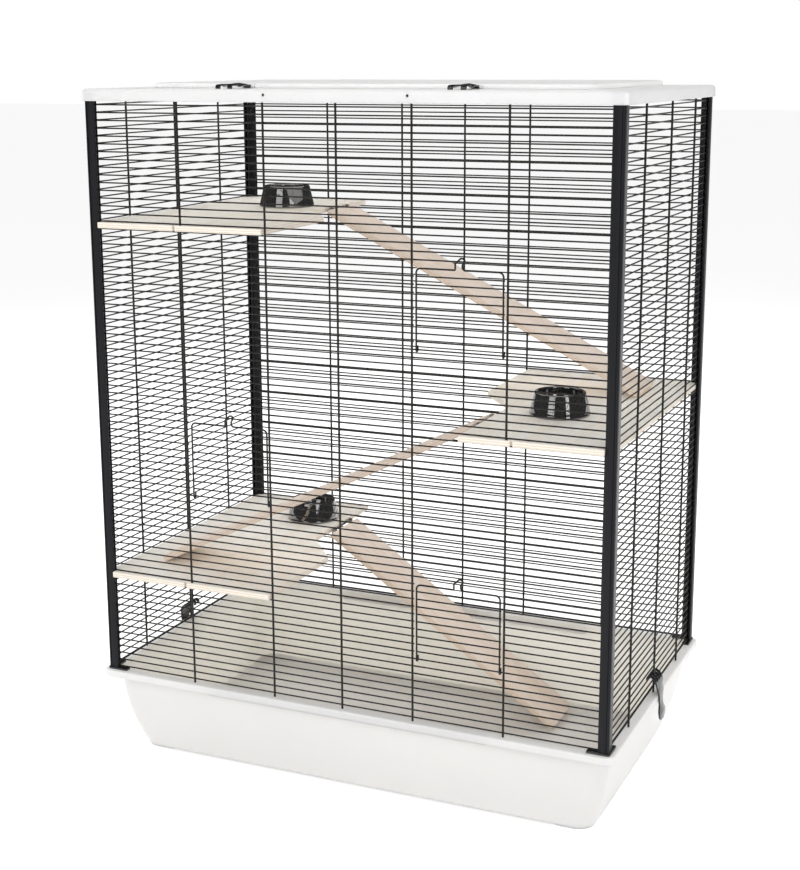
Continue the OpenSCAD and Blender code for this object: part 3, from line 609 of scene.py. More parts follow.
class CAGE_OT_tray(bpy.types.Operator):
    """Builds the moulded tray with its rim, feet and finger ledges"""
    bl_idname = "cage.tray"
    bl_label = "Tray"

    def execute(self, context):
        s = sizes()
        half_x = high("tray").x
        half_y = high("tray").y
        edge = s.tray_edge
        base = s.foot_height + edge
        under = RIM_TOP - s.tray_wall
        skirt = RIM_TOP - s.rim_drop
        rim_corner = 12 * MM
        skirt_corner = 11 * MM
        rim_round = 2.2 * MM
        lip_round = 2 * MM
        ease = 0.6 * MM

        def level(inset, z, radius):
            return corner_ring(half_x - inset, half_y - inset, radius, z)

        def wall(inset, bottom, top, radius, steps=14):
            for i in range(steps + 1):
                t = i / steps
                lean = s.tray_lean * (1 - t) ** s.tray_curve
                yield level(inset + lean, bottom + (top - bottom) * t, radius)

        rings = []
        for angle in range(90, 0, -15):
            aside, rise = quarter(edge, angle)
            rings.append(level(s.tray_inset + s.tray_lean + aside, base - edge + rise,
                               s.tray_corner - aside))
        rings += wall(s.tray_inset, base, under - 2 * MM, s.tray_corner)
        rings += [level(s.tray_inset - ease, under - ease, s.tray_corner),
                  level(s.tray_inset - 2 * MM, under, s.tray_corner - 1 * MM),
                  level(s.tray_wall + 1 * MM, under, skirt_corner),
                  level(s.tray_wall, under - 1 * MM, skirt_corner),
                  level(s.tray_wall, skirt + ease, skirt_corner),
                  level(s.tray_wall - ease, skirt, skirt_corner),
                  level(ease, skirt, rim_corner), level(0, skirt + ease, rim_corner)]
        for angle in (0, 22.5, 45, 67.5, 90):
            aside, drop = quarter(rim_round, angle)
            rings.append(level(aside, RIM_TOP - drop, rim_corner - 1.5 * MM * aside / rim_round))
        inside = s.tray_inset + s.tray_wall
        inside_corner = s.tray_corner - s.tray_wall
        for angle in (90, 60, 30, 0):
            aside, drop = quarter(lip_round, angle)
            rings.append(level(inside - aside, RIM_TOP - drop, inside_corner + 1 * MM))
        inner_wall = wall(inside, base + s.tray_wall, RIM_TOP - lip_round - 0.4 * MM, inside_corner)
        rings += list(inner_wall)[::-1]
        for angle in range(15, 91, 15):
            aside, rise = quarter(edge, angle)
            rings.append(level(inside + s.tray_lean + aside, base + s.tray_wall - edge + rise,
                               inside_corner - aside))
        shells = [loft(rings)]
        foot_inset = s.tray_inset + s.tray_lean + edge
        for sx, sy in CORNERS:
            corner = (sx * (half_x - foot_inset), sy * (half_y - foot_inset))
            shells.append(self.foot(corner, sx, sy, s.tray_corner - edge))
        ledge_half = 213 * MM
        ledge_low = skirt - 4 * MM
        ledge_high = ledge_low + 2.4 * MM
        for sy in (-1, 1):
            y_mid = sy * (half_y - 11 * MM)
            shells.append(loft([
                corner_ring(ledge_half - shrink, 7.5 * MM - shrink, 3 * MM, z, 5, y_mid)
                for shrink, z in ((ease, ledge_low), (0, ledge_low + ease), (0, ledge_high - ease),
                                  (ease, ledge_high))]))
        tray = shell_object("tray_shell", *joined(*shells), "tray", "white_tray", "tray")
        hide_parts("tray")
        return {"FINISHED"}

    @staticmethod
    def foot(corner, sx, sy, radius):
        """Low pad whose outer corner follows the corner of the floor."""
        s = sizes()
        near = 8 * MM
        far = s.foot_length - near
        outline = (arc((radius, radius), radius, 180, 270, 10) + arc((far, near), near, 270, 360, 6)
                   + arc((far, far), near, 0, 90, 6) + arc((near, far), near, 90, 180, 6))
        levels = ((1 * MM, 0), (0.3 * MM, 0.3 * MM), (0, 1 * MM), (0, s.foot_height + 1 * MM))
        return loft([[Vector((corner[0] - sx * x, corner[1] - sy * y, z))
                      for x, y in inset_outline(outline, shrink)] for shrink, z in levels])


class CAGE_OT_lid(bpy.types.Operator):
    """Builds the moulded lid with its skirt, border and hinge lugs"""
    bl_idname = "cage.lid"
    bl_label = "Lid"

    def execute(self, context):
        s = sizes()
        half_x = high("lid_frame").x
        half_y = high("lid_frame").y
        radius = half_x - HALF_WIDTH + POST_ROUND
        lap = 8 * MM
        hole_half_x = high("hatch").x - lap
        hole_half_y = (HATCH_REAR - HATCH_FRONT) / 2 - lap
        roof_z = LID_BOTTOM + LID_HEIGHT
        flange_z = roof_z - 6 * MM
        ceiling_z = roof_z - s.lid_wall
        ease = 0.5 * MM

        def level(inset, z, r=radius):
            return corner_ring(half_x - inset, half_y - inset, r, z)

        def opening(grow, z, r=12 * MM):
            return corner_ring(hole_half_x + grow, hole_half_y + grow, r, z, 10,
                               (HATCH_FRONT + HATCH_REAR) / 2)

        rings = [level(s.lid_wall, LID_BOTTOM + ease), level(s.lid_wall - ease, LID_BOTTOM),
                 level(ease, LID_BOTTOM), level(0, LID_BOTTOM + ease)]
        for i in range(9):
            aside, drop = quarter(s.lid_round, 90 * i / 8)
            rings.append(level(aside, roof_z - drop, radius + (1 - drop / s.lid_round) * MM))
        rings += [opening(1.2 * MM, roof_z), opening(0.4 * MM, roof_z - 0.3 * MM),
                  opening(0, roof_z - 1.2 * MM), opening(0, flange_z), opening(s.lid_wall, flange_z),
                  opening(s.lid_wall, ceiling_z), level(s.lid_wall, ceiling_z)]
        lid = shell_object("lid_shell", *loft(rings, closed=True), "cage", "white_lid", "lid")
        self.drill(lid, half_y, roof_z)
        lid.data.materials[0] = MATERIALS["lid"]
        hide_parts("lid_frame")
        self.lugs(roof_z)
        return {"FINISHED"}

    @staticmethod
    def drill(lid, half_y, roof_z):
        """Cuts the two round holes in the front of the skirt and fills each with a dark piece, painted
        shade that stands in for the dark inside of the hole.
        """
        hole_x = 102 * MM
        hole_radius = 2 * MM
        hole_z = roof_z - sizes().lid_round - hole_radius
        hole_shade_plugs = []
        # Painted shade: a dark plug sits in each hole, where there is only the lid's shaded inside.
        for x in (-hole_x, hole_x):
            hole_shade_plugs.append(tube([(x, -half_y + depth * MM, hole_z) for depth in (0.2, 1.0, 1.8, 2.4)],
                              hole_radius - 0.1 * MM, 24))
            bpy.ops.mesh.primitive_cylinder_add(
                vertices=32, radius=hole_radius, depth=12 * MM,
                location=(x, -half_y, hole_z), rotation=(math.pi / 2, 0, 0))
            cutter = bpy.context.object
            cut = lid.modifiers.new("hole", "BOOLEAN")
            cut.operation = "DIFFERENCE"
            cut.solver = "EXACT"
            cut.object = cutter
            apply_modifiers(lid)
            bpy.data.objects.remove(cutter)
        shell_object("skirt_shade_plugs", *joined(*hole_shade_plugs), "cage", "black_clip", "clip")

    @staticmethod
    def lugs(roof_z):
        """Adds the lugs that hold the hatch's hinge pins."""
        joint = JOINTS["hatch_swing"]["pos_m"]
        shells = []
        barrel = 3.5 * MM
        root = roof_z - 0.8 * MM - joint[2]
        profile = [(-barrel, root)] + arc((0, 0), barrel, 180, 0, 16) + [(barrel, root)]
        bore = arc((0, 0), HINGE_BORE, 0, 360, 24)[:-1]
        for side, end in CORNERS:
            middle = Vector((side * HINGE_X + end * 30 * MM, joint[1], joint[2]))
            shells.append(eye_plate(profile, bore, middle, 3 * MM))
        shell_object("hinge_lugs", *joined(*shells), "cage", "white_lid", "lid")


def eye_plate(outline, bore, centre, half_thickness):
    """Flat plate across X with a round bore, both given by (y, z) points round the centre."""
    build = bmesh.new()
    sides = []
    for x in (-half_thickness, half_thickness):
        loops = []
        for loop in (outline, bore):
            verts = [build.verts.new((centre.x + x, centre.y + p[0], centre.z + p[1])) for p in loop]
            loops.append(verts)
            for i, vert in enumerate(verts):
                build.edges.new((vert, verts[(i + 1) % len(verts)]))
        sides.append(loops)
    edges = list(build.edges)
    half = len(edges) // 2
    for face_edges in (edges[:half], edges[half:]):
        bmesh.ops.triangle_fill(build, use_beauty=True, use_dissolve=False, edges=face_edges)
    for first, second in zip(*sides):
        for i in range(len(first)):
            k = (i + 1) % len(first)
            build.faces.new((first[i], first[k], second[k], second[i]))
    build.verts.index_update()
    points = [v.co.copy() for v in build.verts]
    faces = [tuple(v.index for v in f.verts) for f in build.faces]
    build.free()
    return points, faces


class CAGE_OT_hatch(bpy.types.Operator):
    """Builds the hatch: a shallow cover with a crowned top, hinge barrels and clip ears"""
    bl_idname = "cage.hatch"
    bl_label = "Hatch"

    def execute(self, context):
        s = sizes()
        top = high("hatch").z
        half_x = high("hatch").x
        y_mid = (HATCH_FRONT + HATCH_REAR) / 2
        half_y = (HATCH_REAR - HATCH_FRONT) / 2
        radius = 18 * MM
        edge = 3.5 * MM
        crown = 0.8 * MM
        ease = 0.3 * MM
        under = LID_BOTTOM + LID_HEIGHT + 0.3 * MM

        def level(inset, z):
            return corner_ring(half_x - inset, half_y - inset, radius - inset, z, 10, y_mid)

        rings = [level(14 * MM, top - s.lid_wall), level(s.lid_wall, top - s.lid_wall - crown),
                 level(s.lid_wall, under + ease), level(s.lid_wall - ease, under), level(ease, under),
                 level(0, under + ease)]
        for i in range(9):
            angle = 90 * i / 8
            rings.append(level(quarter(edge, angle)[0], top - crown - quarter(edge - crown, angle)[1]))
        rings += [level(9 * MM, top - 0.4 * MM), level(14 * MM, top - 0.1 * MM)]
        hatch = shell_object("hatch_shell", *loft(rings), "hatch", "white_lid", "lid")
        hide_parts("hatch")
        self.barrels()
        self.ears()
        return {"FINISHED"}

    @staticmethod
    def barrels():
        """Adds the hatch's hinge barrels between the lid's lugs."""
        y, z = JOINTS["hatch_swing"]["pos_m"][1:]
        reach = HATCH_REAR - y - 1 * MM
        outline = [(reach, -1.4 * MM)] + arc((0, 0), 3.5 * MM, 204, 516, 26) + [(reach, 1.4 * MM)]
        bore = arc((0, 0), HINGE_BORE, 0, 360, 24)[:-1]
        shells = [eye_plate(outline, bore, Vector((side * HINGE_X, y, z)), 26.7 * MM)
                  for side in (-1, 1)]
        shell_object("hinge_barrels", *joined(*shells), "hatch", "white_lid", "lid")

    @staticmethod
    def ears():
        """Adds the ears that hold the roof clips' pins."""
        y, z = JOINTS["roof_clip_left_swing"]["pos_m"][1:]
        reach = HATCH_FRONT - y + 1 * MM
        outline = [(reach, -2.5 * MM), (reach, 1.5 * MM), (2 * MM, 1.5 * MM)]
        outline += arc((0, 0), 2.5 * MM, 37, 270, 20)
        bore = arc((0, 0), CLIP_BORE, 0, 360, 20)[:-1]
        shells = [eye_plate(outline, bore, Vector((side * HINGE_X + end * 7.5 * MM, y, z)), 1.7 * MM)
                  for side, end in CORNERS]
        shell_object("clip_ears", *joined(*shells), "hatch", "white_lid", "lid")


class CAGE_OT_posts(bpy.types.Operator):
    """Builds the grooved corner posts and their shoes"""
    bl_idname = "cage.posts"
    bl_label = "Posts and shoes"

    def execute(self, context):
        for sy, face in ((-1, "front"), (1, "back")):
            for sx, side in ((-1, "left"), (1, "right")):
                self.post(f"{face}_{side}", sx, sy)
        self.shoes()
        return {"FINISHED"}

    @staticmethod
    def post(name, sx, sy):
        """Grooved L profile from the shoe to the underside of the lid."""
        leg, wall, deep, near, far = (v * MM for v in (15.0, 7.3, 7.0, 3.0, 5.6))
        r = 0.4 * MM
        bend = arc((POST_ROUND, POST_ROUND), POST_ROUND, 180, 270, 8)
        arm = [(leg - r, 0), (leg, r), (leg, near - r), (leg - r, near), (leg - deep, near),
               (leg - deep, far), (leg - r, far), (leg, far + r), (leg, wall - r), (leg - r, wall)]
        bead = [(v * MM, d * MM) for v, d in ((4.4, 0), (4.2, 1.1), (3.2, 1.1), (3.0, 0))]
        outline = bead[::-1] + arm + [(wall + r, wall), (wall, wall + r)]
        outline += [(y, x) for x, y in arm[::-1]] + [(y, x) for x, y in bead]
        outline += bend
        rings = [[Vector((sx * (HALF_WIDTH - x), sy * (HALF_DEPTH - y), corner.z)) for x, y in outline]
                 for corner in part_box("post_" + name)]
        post = shell_object("profile_" + name, *loft(rings), "cage", "charcoal_post", "post", 50)
        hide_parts("post_" + name)

    @staticmethod
    def shoes():
        """Four low L-shaped shoes with eased edges."""
        arm, wide, proud, height, bend = (v * MM for v in (32.0, 10.3, 1.5, 3.0, 1.5))
        outline = [(0, 0), (arm, 0), (arm, wide), (wide, wide), (wide, arm), (0, arm)]
        outline = rounded_outline(outline, [2 * bend] + [bend] * 5)
        reach_x = HALF_WIDTH + proud
        reach_y = HALF_DEPTH + proud
        top = RIM_TOP + height
        levels = ((0, RIM_TOP), (0, top - 0.8 * MM), (0.25 * MM, top - 0.25 * MM), (0.8 * MM, top))
        shells = [loft([[Vector((sx * (reach_x - x), sy * (reach_y - y), z))
                         for x, y in inset_outline(outline, shrink)] for shrink, z in levels])
                  for sx, sy in CORNERS]
        shoes = shell_object("shoes", *joined(*shells), "cage", "black_clip", "clip")
        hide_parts("post_shoes")


def rounded_outline(outline, radii, steps=4):
    """Closed outline of (x, y) points with each corner rounded to its radius."""
    count = len(outline)
    ring = []
    for i in range(count):
        line = [outline[i - 1], outline[i], outline[(i + 1) % count]]
        bend = rounded_line([(*p, 0) for p in line], [0, radii[i], 0], steps)
        ring += [(p.x, p.y) for p in bend[1:-1]]
    return ring


def inset_outline(outline, distance):
    """The outline moved inwards by a small distance. It runs anticlockwise."""
    if distance == 0:
        return list(outline)
    count = len(outline)
    moved = []
    for i in range(count):
        before = Vector(outline[i]) - Vector(outline[i - 1])
        after = Vector(outline[(i + 1) % count]) - Vector(outline[i])
        along = (before.normalized() + after.normalized()).normalized()
        share = max(0.5, along.dot(after.normalized()))
        step = distance / share
        moved.append((outline[i][0] - along.y * step, outline[i][1] + along.x * step))
    return moved


class CAGE_OT_wires(bpy.types.Operator):
    """Coats the wires of the four walls"""
    bl_idname = "cage.wires"
    bl_label = "Wires"

    def execute(self, context):
        names = [n for n in frame["nodes"] if "bars" in n or "uprights" in n or n == "bottom_rails"]
        finish_nodes("wire", *names)
        return {"FINISHED"}


class CAGE_OT_doors(bpy.types.Operator):
    """Builds the bent wire doors with their latches and bars"""
    bl_idname = "cage.doors"
    bl_label = "Doors"

    def execute(self, context):
        s = sizes()
        for name in ("door_lower_right", "door_left", "door_upper_right"):
            x, y, z = JOINTS[name + "_swing"]["pos_m"]
            leg = (high(name).x - low(name).x - s.door_wire) / 2
            top = s.door_rows * s.bar_pitch
            r = 2.5 * MM
            # Each point of the latch: across, up and the radius of its bend, in millimetres
            latch = ((-5.7, 0, 1.5), (-5.7, 8, 1.2), (1.6, 15, 2), (5.2, 15, 1.5),
                     (7.4, 12.4, 1.2), (3.8, 6.4, 1.4), (4.2, 2.4, 1.4), (6.6, 0, 1))
            path = [(-leg, r, s.bar_pitch / 2), (-leg, r, -r), (-leg, -r, -r), (-leg, -r, top)]
            path += [(across * MM, -r, top + up * MM) for across, up, bend in latch]
            path += [(leg, -r, top), (leg, -r, -r), (leg, r, -r), (leg, r, s.bar_pitch / 2)]
            bends = [0, r, r, 6 * MM] + [bend * MM for across, up, bend in latch] + [6 * MM, r, r, 0]
            line = [p + Vector((x, y, z)) for p in rounded_line(path, bends, 7)]
            shells = [tube(line, s.door_wire / 2, 16)]
            reach = leg + s.door_wire / 2
            for i in range(1, s.door_rows):
                bar = [(x + share * reach, y, z + i * s.bar_pitch) for share in (-1, -0.3, 0.3, 1)]
                shells.append(tube(bar, s.bar_wire / 2, 16))
            door = shell_object(name + "_wires", *joined(*shells), name, "black_wire", "wire", 60)
            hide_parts(name)
        return {"FINISHED"}


class CAGE_OT_shelves(bpy.types.Operator):
    """Builds the notched wooden shelves"""
    bl_idname = "cage.shelves"
    bl_label = "Shelves"

    def execute(self, context):
        for name, turned in (("shelf_lower", False), ("shelf_middle", True), ("shelf_upper", False)):
            low_z = low(name).z
            place = Matrix.Rotation(math.pi if turned else 0, 4, "Z")
            board = board_object(name + "_board", self.outline(), low_z, high(name).z - low_z, place,
                                 "cage", "shelf_wood", "shelf", math.pi / 2)
            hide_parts(name)
        return {"FINISHED"}

    @staticmethod
    def outline():
        """Outline of the shelf on the left side, anticlockwise, with its notches and upright slots."""
        out_x, leg_x, tip_x = (v * MM for v in (376.4, 374.4, 366.7))
        leg_y, mid_y, tip_y = (v * MM for v in (213.7, 221.4, 233.0))
        wide, slim, turn_a, turn_b = (v * MM for v in (109.5, 172.0, 45.0, 35.0))
        slot_out, slot_in, slot_far = (v * MM for v in (246.2, 242.6, 234.6))
        near, far = (v * MM for v in (225.7, 229.3))
        front = [(-tip_x, -tip_y), (-slot_out, -tip_y), (-slot_out, -near), (-slot_far, -near),
                 (-slot_far, -far), (-slot_in, -far), (-slot_in, -tip_y), (-wide, -tip_y)]
        back = [(x, -y) for x, y in front[:-1]][::-1]
        return ([(-out_x, -leg_y), (-leg_x, -leg_y), (-leg_x, -mid_y), (-tip_x, -mid_y)] + front
                + [(-wide, -turn_a), (-slim, turn_b), (-slim, tip_y)] + back
                + [(-tip_x, mid_y), (-leg_x, mid_y), (-leg_x, leg_y), (-out_x, leg_y)])


class CAGE_OT_ramps(bpy.types.Operator):
    """Builds the sloping boards and finishes their eyes and pins"""
    bl_idname = "cage.ramps"
    bl_label = "Ramps"

    def execute(self, context):
        for name, side in (("ramp_lower", 1), ("ramp_middle", -1), ("ramp_upper", 1)):
            self.board(name, side)
        finish_nodes("steel", *[n for n in frame["nodes"] if n.endswith(("_eyes", "_hinge"))])
        finish_nodes("steel", "hatch_hinge_pins", "roof_clip_pins")
        return {"FINISHED"}

    @staticmethod
    def board(name, side):
        """One ramp, its lower corners round."""
        pivot = Vector(JOINTS[name + "_lift"]["pos_m"])
        thickness = 8 * MM
        half = (high(name).y - low(name).y) / 2
        start = 4.5 * MM
        drop = pivot.z - low(name).z
        run = (high(name).x - pivot.x) if side > 0 else (pivot.x - low(name).x)
        slope = math.atan2(drop, run)
        # The board's far end touches two sides of its box, which gives its slope and its length
        for _ in range(6):
            length = (run + thickness / 2 * math.sin(slope)) / math.cos(slope)
            slope = math.asin((drop - thickness / 2 * math.cos(slope)) / length)
        r = 10 * MM
        outline = [(start, -half), (length - r, -half)]
        outline += arc((length - r, r - half), r, -90, 0, 8)[1:]
        outline += arc((length - r, half - r), r, 0, 90, 8)
        outline += [(start, half)]
        place = Matrix.Translation(pivot) @ Matrix.Rotation(0 if side > 0 else math.pi, 4, "Z")
        place = place @ Matrix.Rotation(slope, 4, "Y")
        board = board_object(name + "_board", outline, -thickness / 2, thickness, place,
                             name, "ramp_wood", "ramp")
        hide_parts(name)


class CAGE_OT_bowls(bpy.types.Operator):
    """Turns the three glossy feeding bowls"""
    bl_idname = "cage.bowls"
    bl_label = "Bowls"

    def execute(self, context):
        for name in ("bowl_lower", "bowl_middle", "bowl_upper"):
            lowest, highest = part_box(name)
            centre = ((lowest.x + highest.x) / 2, (lowest.y + highest.y) / 2, lowest.z)
            foot = (highest.x - lowest.x) / 2
            height = highest.z - lowest.z
            rim = 35.4 * MM
            wall = 4.4 * MM
            hollow = rim - wall
            depth = height - 6 * MM
            base = 3.2 * MM
            profile = [(0, 0.4 * MM), (foot - 3 * MM, 0.4 * MM), (foot - 2.4 * MM, 0),
                       (foot - 0.8 * MM, 0), (foot - 0.25 * MM, 0.25 * MM), (foot, 0.8 * MM),
                       (foot, 2.6 * MM), (foot - 0.3 * MM, base)]
            profile += [(foot - (foot - rim) * t, base + (height - 2 * MM - base) * t)
                        for t in (0.08, 0.5, 0.9, 1.0)]
            lip = wall / 2 + 0.1 * MM
            profile += [(rim - lip + lip * math.cos(a), height - lip + lip * math.sin(a))
                        for a in (math.radians(d) for d in range(10, 181, 17))]
            mouth = 1.6 * MM
            for i in range(1, 15):
                a = math.radians(90 * i / 14)
                profile.append((hollow * math.cos(a) ** 0.6 if i < 14 else 0,
                                height - mouth - (depth - mouth) * math.sin(a) ** 0.8))
            bowl = shell_object(name + "_turned", *lathe(profile, centre), name,
                                "bowl_plastic", "bowl", 40)
            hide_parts(name)
        return {"FINISHED"}


def ribbon(path, half_widths, bows, prongs, prong_rows, across, inward, columns):
    """Mid-surface of a clip: rows along a path of points, columns across it, with gaps between prongs.
    across is the clip's width direction, prongs are the column ranges that stay in the prong rows,
    and a row's edges lie by its bow further inward than its middle."""
    points = []
    faces = []
    for row, (p, half, bow) in enumerate(zip(path, half_widths, bows)):
        along = path[min(row + 1, len(path) - 1)] - path[max(row - 1, 0)]
        normal = across.cross(along).normalized()
        if normal.dot(inward) < 0:
            normal = -normal
        for column in range(columns + 1):
            u = 2 * column / columns - 1
            points.append(p + across * half * u + normal * bow * u * u)
    for row in range(len(path) - 1):
        for column in range(columns):
            if row < prong_rows and not any(a <= column < b for a, b in prongs):
                continue
            a = row * (columns + 1) + column
            faces.append((a, a + 1, a + columns + 2, a + columns + 1))
    used = sorted({i for face in faces for i in face})
    index = {old: new for new, old in enumerate(used)}
    return [points[i] for i in used], [tuple(index[i] for i in face) for face in faces]


def resample(path, step):
    """Points along a line at even steps, and their distances from its start."""
    line = [Vector(p) for p in path]
    lengths = [0.0]
    for a, b in zip(line, line[1:]):
        lengths.append(lengths[-1] + (b - a).length)
    count = max(2, round(lengths[-1] / step))
    result = []
    for i in range(count + 1):
        target = lengths[-1] * i / count
        k = next(j for j in range(1, len(line)) if lengths[j] >= target - 1e-9)
        share = (target - lengths[k - 1]) / (lengths[k] - lengths[k - 1])
        result.append((line[k - 1].lerp(line[k], share), target / lengths[-1]))
    return result


def widths(stops, t):
    """Value at t between (place, value) stops, eased from one stop to the next."""
    for (a, first), (b, second) in zip(stops, stops[1:]):
        if t <= b:
            share = (t - a) / (b - a)
            return first + (second - first) * share * share * (3 - 2 * share)
    return stops[-1][1]


class CAGE_OT_clips(bpy.types.Operator):
    """Builds the pronged clips of the side walls and the roof"""
    bl_idname = "cage.clips"
    bl_label = "Clips"

    def execute(self, context):
        for name, side in (("left", -1), ("right", 1)):
            self.side_clip(name, side)
            self.roof_clip(name, side)
        return {"FINISHED"}

    @staticmethod
    def moulding(node, path, stops, bows, prongs, columns, prong_share, across, inward, thickness):
        """A clip from its path, the half widths and bows along it, and the columns of its prongs."""
        rows = resample(path, 1.5 * MM)
        points, faces = ribbon(
            [p for p, t in rows], [widths(stops, t) * MM for p, t in rows],
            [widths(bows, t) * MM for p, t in rows], prongs, round(prong_share * len(rows)),
            across, inward, columns)
        clip = shell_object(node + "_moulding", points, faces, node, "black_clip", "clip")
        solid = clip.modifiers.new("thickness", "SOLIDIFY")
        solid.thickness = thickness
        solid.offset = 0
        smooth = clip.modifiers.new("moulding", "SUBSURF")
        smooth.levels = 2
        smooth.render_levels = 2
        apply_modifiers(clip, 60)
        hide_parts(node)
        return clip

    def side_clip(self, name, side):
        """Clip whose four prongs hook a bar, and that runs down outside the rim to a tab."""
        x, y, z = JOINTS[f"side_clip_{name}_swing"]["pos_m"]
        hook = 2.7
        out = 14
        drop = (z - RIM_TOP) / MM + 10.6
        profile = [(-hook, -4.6), (-hook, 0.6), (-hook * 0.66, hook * 0.85), (0, hook),
                   (3.2, hook * 0.85), (out * 0.48, 0), (out * 0.72, -5), (out * 0.88, -11),
                   (out - 0.6, -18), (out, -25), (out, -drop), (out + 1.4, -8 - drop),
                   (out + 3.3, -16 - drop), (out + 3.2, -26 - drop)]
        path = [(x + side * px * MM, y, z + pz * MM) for px, pz in profile]
        stops = [(0, 17), (0.33, 17), (0.42, 13.5), (0.62, 8.6), (0.72, 8.7), (0.87, 15.6),
                 (0.94, 14.6), (1, 9.5)]
        bows = [(0, 0), (0.26, 0), (0.4, 1.3), (0.52, 0.2), (0.66, 0.1), (0.85, 1.2), (1, 0.8)]
        prongs = [(0, 4), (7, 11), (14, 18), (21, 25)]
        self.moulding(f"side_clip_{name}", path, stops, bows, prongs, 25, 0.27,
                      Vector((0, 1, 0)), Vector((-side, 0, 0)), 2.6 * MM)

    def roof_clip(self, name, side):
        """Clip that stands on the lid with two prongs and turns on its pin in front of the hatch."""
        x, y, z = JOINTS[f"roof_clip_{name}_swing"]["pos_m"]
        front = 64.3
        profile = [(-front, -2.4), (-front, 1), (2 - front, 2.3), (-front * 0.4, 3.9), (-14, 3.1),
                   (-6, 1.7), (0, 1.2)]
        path = [(x, y + py * MM, z + pz * MM) for py, pz in profile]
        stops = [(0, 12.8), (0.3, 12.8), (0.93, 5.4), (1, 5.4)]
        bows = [(0, 0), (0.26, 0), (0.36, 3), (0.7, 2.4), (0.9, 0.4), (1, 0)]
        self.moulding(f"roof_clip_{name}", path, stops, bows, [(0, 4), (9, 13)], 13, 0.27,
                      Vector((1, 0, 0)), Vector((0, 0, -1)), 2.1 * MM)
        barrel = tube([(x + along * MM, y, z) for along in (-5.5, -1, 1, 5.5)], 2.4 * MM, 24)
        shell_object(f"roof_clip_{name}_barrel", *barrel, f"roof_clip_{name}", "black_clip", "clip", 50)


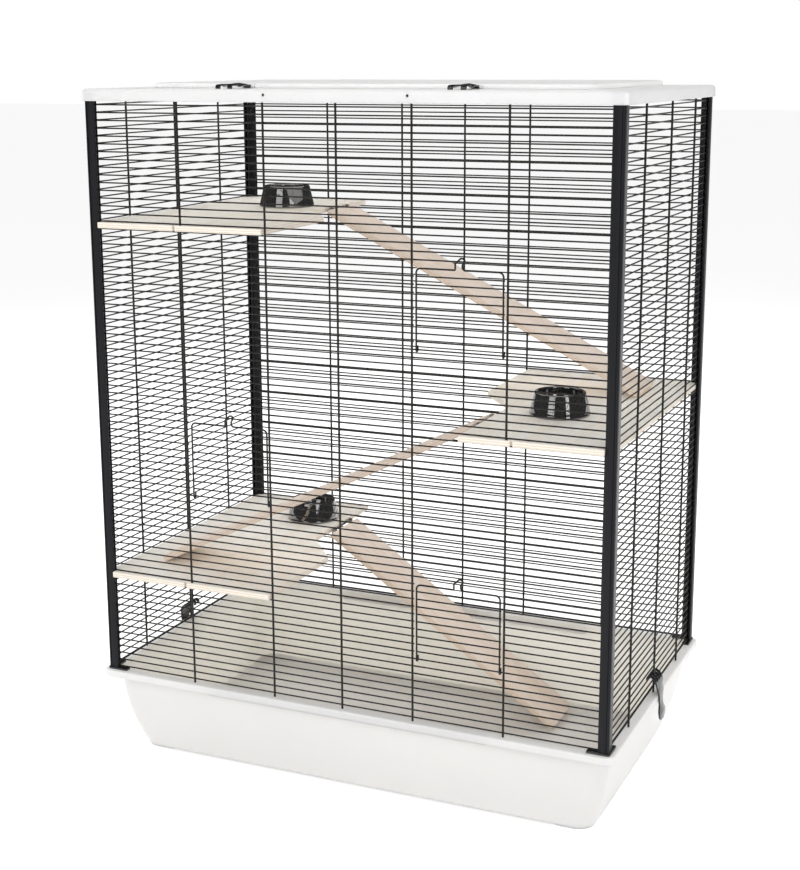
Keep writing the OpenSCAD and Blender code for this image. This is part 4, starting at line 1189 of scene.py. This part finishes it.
class CAGE_OT_stage(bpy.types.Operator):
    """Sets the pale floor, the soft lamps, the surroundings and the camera"""
    bl_idname = "cage.stage"
    bl_label = "Stage"

    def execute(self, context):
        scene = context.scene
        scene.view_settings.view_transform = "Standard"
        self.floor()
        self.world(scene)
        self.lamps()
        self.camera(scene)
        return {"FINISHED"}

    @staticmethod
    def floor():
        """Large pale floor that keeps the cage's shadow."""
        half = 30.0  # metres
        points = [(-half, -half, 0), (half, -half, 0), (half, half, 0), (-half, half, 0)]
        mesh = bpy.data.meshes.new("floor")
        mesh.from_pydata(points, [], [(0, 1, 2, 3)])
        floor = bpy.data.objects.new("floor", mesh)
        bpy.context.scene.collection.objects.link(floor)
        finish = Finish("floor")
        seen = finish.seen_by("Camera", "Glossy", "Transmission")
        finish.set(Base_Color=tuple(colours().floor), Roughness=0.9, Specular_IOR_Level=0.0,
                   Emission_Color=(1, 1, 1), Emission_Strength=seen * 0.45)
        mesh.materials.append(finish.material)

    @staticmethod
    def world(scene):
        """Even surroundings, brighter near the horizon, and white where the camera sees them."""
        world = bpy.data.worlds.new("surroundings")
        scene.world = world
        world.use_nodes = True
        tree = Tree(world.node_tree)
        height = tree.split(tree.add("ShaderNodeTexCoord", output="Generated"), "Z")
        strength = tree.add("ShaderNodeMapRange", None, {
            "Value": height, "From Min": 0, "From Max": 0.8, "To Min": 1.48, "To Max": 0.38})
        for kinds, level in ((("Glossy",), 0.07), (("Camera", "Transmission"), 1.0)):
            strength = tree.add("ShaderNodeMix", {"data_type": "FLOAT"}, {
                "Factor": tree.seen_by(*kinds), "A": strength, "B": level}, "Result")
        background = tree.kept("BACKGROUND")
        tree.put(background.inputs["Color"], (1, 1, 1))
        tree.put(background.inputs["Strength"], strength)

    @staticmethod
    def lamps():
        """Two dim soft boxes in front, and three behind that light the inside through the wires."""
        middle = Vector((0, 0, 0.5))
        # Each lamp: its azimuth, its distance and height, its width and length, and its power
        boxes = (("left_box", -12, 2.6, 2.0, 1.4, 2.4, 16),
                 ("right_box", 48, 2.6, 2.0, 1.0, 2.4, 15),
                 ("back_left_box", 255, 2.4, 2.5, 1.6, 2.0, 26),
                 ("back_box", 205, 2.4, 2.5, 1.6, 2.0, 24),
                 ("back_right_box", 150, 2.4, 2.5, 1.6, 2.0, 24))
        for name, azimuth, distance, height, width, length, power in boxes:
            turn = math.radians(azimuth)
            place = Vector((math.sin(turn) * distance, -math.cos(turn) * distance, height))
            light = bpy.data.lights.new(name, "AREA")
            light.shape = "RECTANGLE"
            light.size = width
            light.size_y = length
            light.energy = power
            lamp = bpy.data.objects.new(name, light)
            lamp.location = place
            lamp.visible_glossy = "back" not in name
            lamp.rotation_euler = (middle - place).to_track_quat("-Z", "Y").to_euler()
            bpy.context.scene.collection.objects.link(lamp)

    @staticmethod
    def camera(scene):
        """Camera at the photograph's viewing angle."""
        azimuth = math.radians(23.926)
        elevation = math.radians(12.288)
        roll = math.radians(-0.236)
        position = Vector((0.8904, -2.0515, 1.0080))
        focal_px = 1562.92
        centre_px = Vector((394.56, 400.57))
        back = Vector((math.sin(azimuth) * math.cos(elevation),
                       -math.cos(azimuth) * math.cos(elevation), math.sin(elevation)))
        right = (-back).cross(Vector((0, 0, 1))).normalized()
        up = right.cross(-back)
        turned_right = math.cos(roll) * right + math.sin(roll) * up
        turned_up = -math.sin(roll) * right + math.cos(roll) * up
        rotation = Matrix((turned_right, turned_up, back)).transposed()
        data = bpy.data.cameras.new("camera")
        data.sensor_width = 36
        data.lens = focal_px / max(IMAGE_SIZE) * data.sensor_width
        data.shift_x = (IMAGE_SIZE[0] / 2 - centre_px.x) / max(IMAGE_SIZE)
        data.shift_y = (centre_px.y - IMAGE_SIZE[1] / 2) / max(IMAGE_SIZE)
        camera = bpy.data.objects.new("camera", data)
        camera.matrix_world = Matrix.Translation(position) @ rotation.to_4x4()
        bpy.context.scene.collection.objects.link(camera)
        scene.camera = camera


class CAGE_PT_panel(bpy.types.Panel):
    """Lists the cage's pieces, sizes and colours"""
    bl_idname = "CAGE_PT_panel"
    bl_label = "Wire cage"
    bl_space_type = "VIEW_3D"
    bl_region_type = "UI"
    bl_category = "Cage"

    def draw(self, context):
        layout = self.layout
        for operator in PIECES:
            layout.operator(operator.bl_idname)
        for group in (context.scene.cage_sizes, context.scene.cage_colours):
            for key in group.bl_rna.properties.keys():
                if key not in ("rna_type", "name"):
                    layout.prop(group, key)


PIECES = (CAGE_OT_tray, CAGE_OT_lid, CAGE_OT_hatch, CAGE_OT_posts, CAGE_OT_wires, CAGE_OT_doors,
          CAGE_OT_shelves, CAGE_OT_ramps, CAGE_OT_bowls, CAGE_OT_clips, CAGE_OT_stage)
CLASSES = (CageSizes, CageColours) + PIECES + (CAGE_PT_panel,)


def register():
    """Registers the classes and the scene's properties."""
    for cls in CLASSES:
        bpy.utils.register_class(cls)
    bpy.types.Scene.cage_sizes = PointerProperty(type=CageSizes)
    bpy.types.Scene.cage_colours = PointerProperty(type=CageColours)


def unregister():
    """Removes the properties and the classes."""
    del bpy.types.Scene.cage_colours
    del bpy.types.Scene.cage_sizes
    for cls in reversed(CLASSES):
        bpy.utils.unregister_class(cls)


def main():
    """Builds every piece and the stage."""
    register()
    make_materials()
    for operator in PIECES:
        group, name = operator.bl_idname.split(".")
        getattr(getattr(bpy.ops, group), name)()


if __name__ == "__main__":
    main()
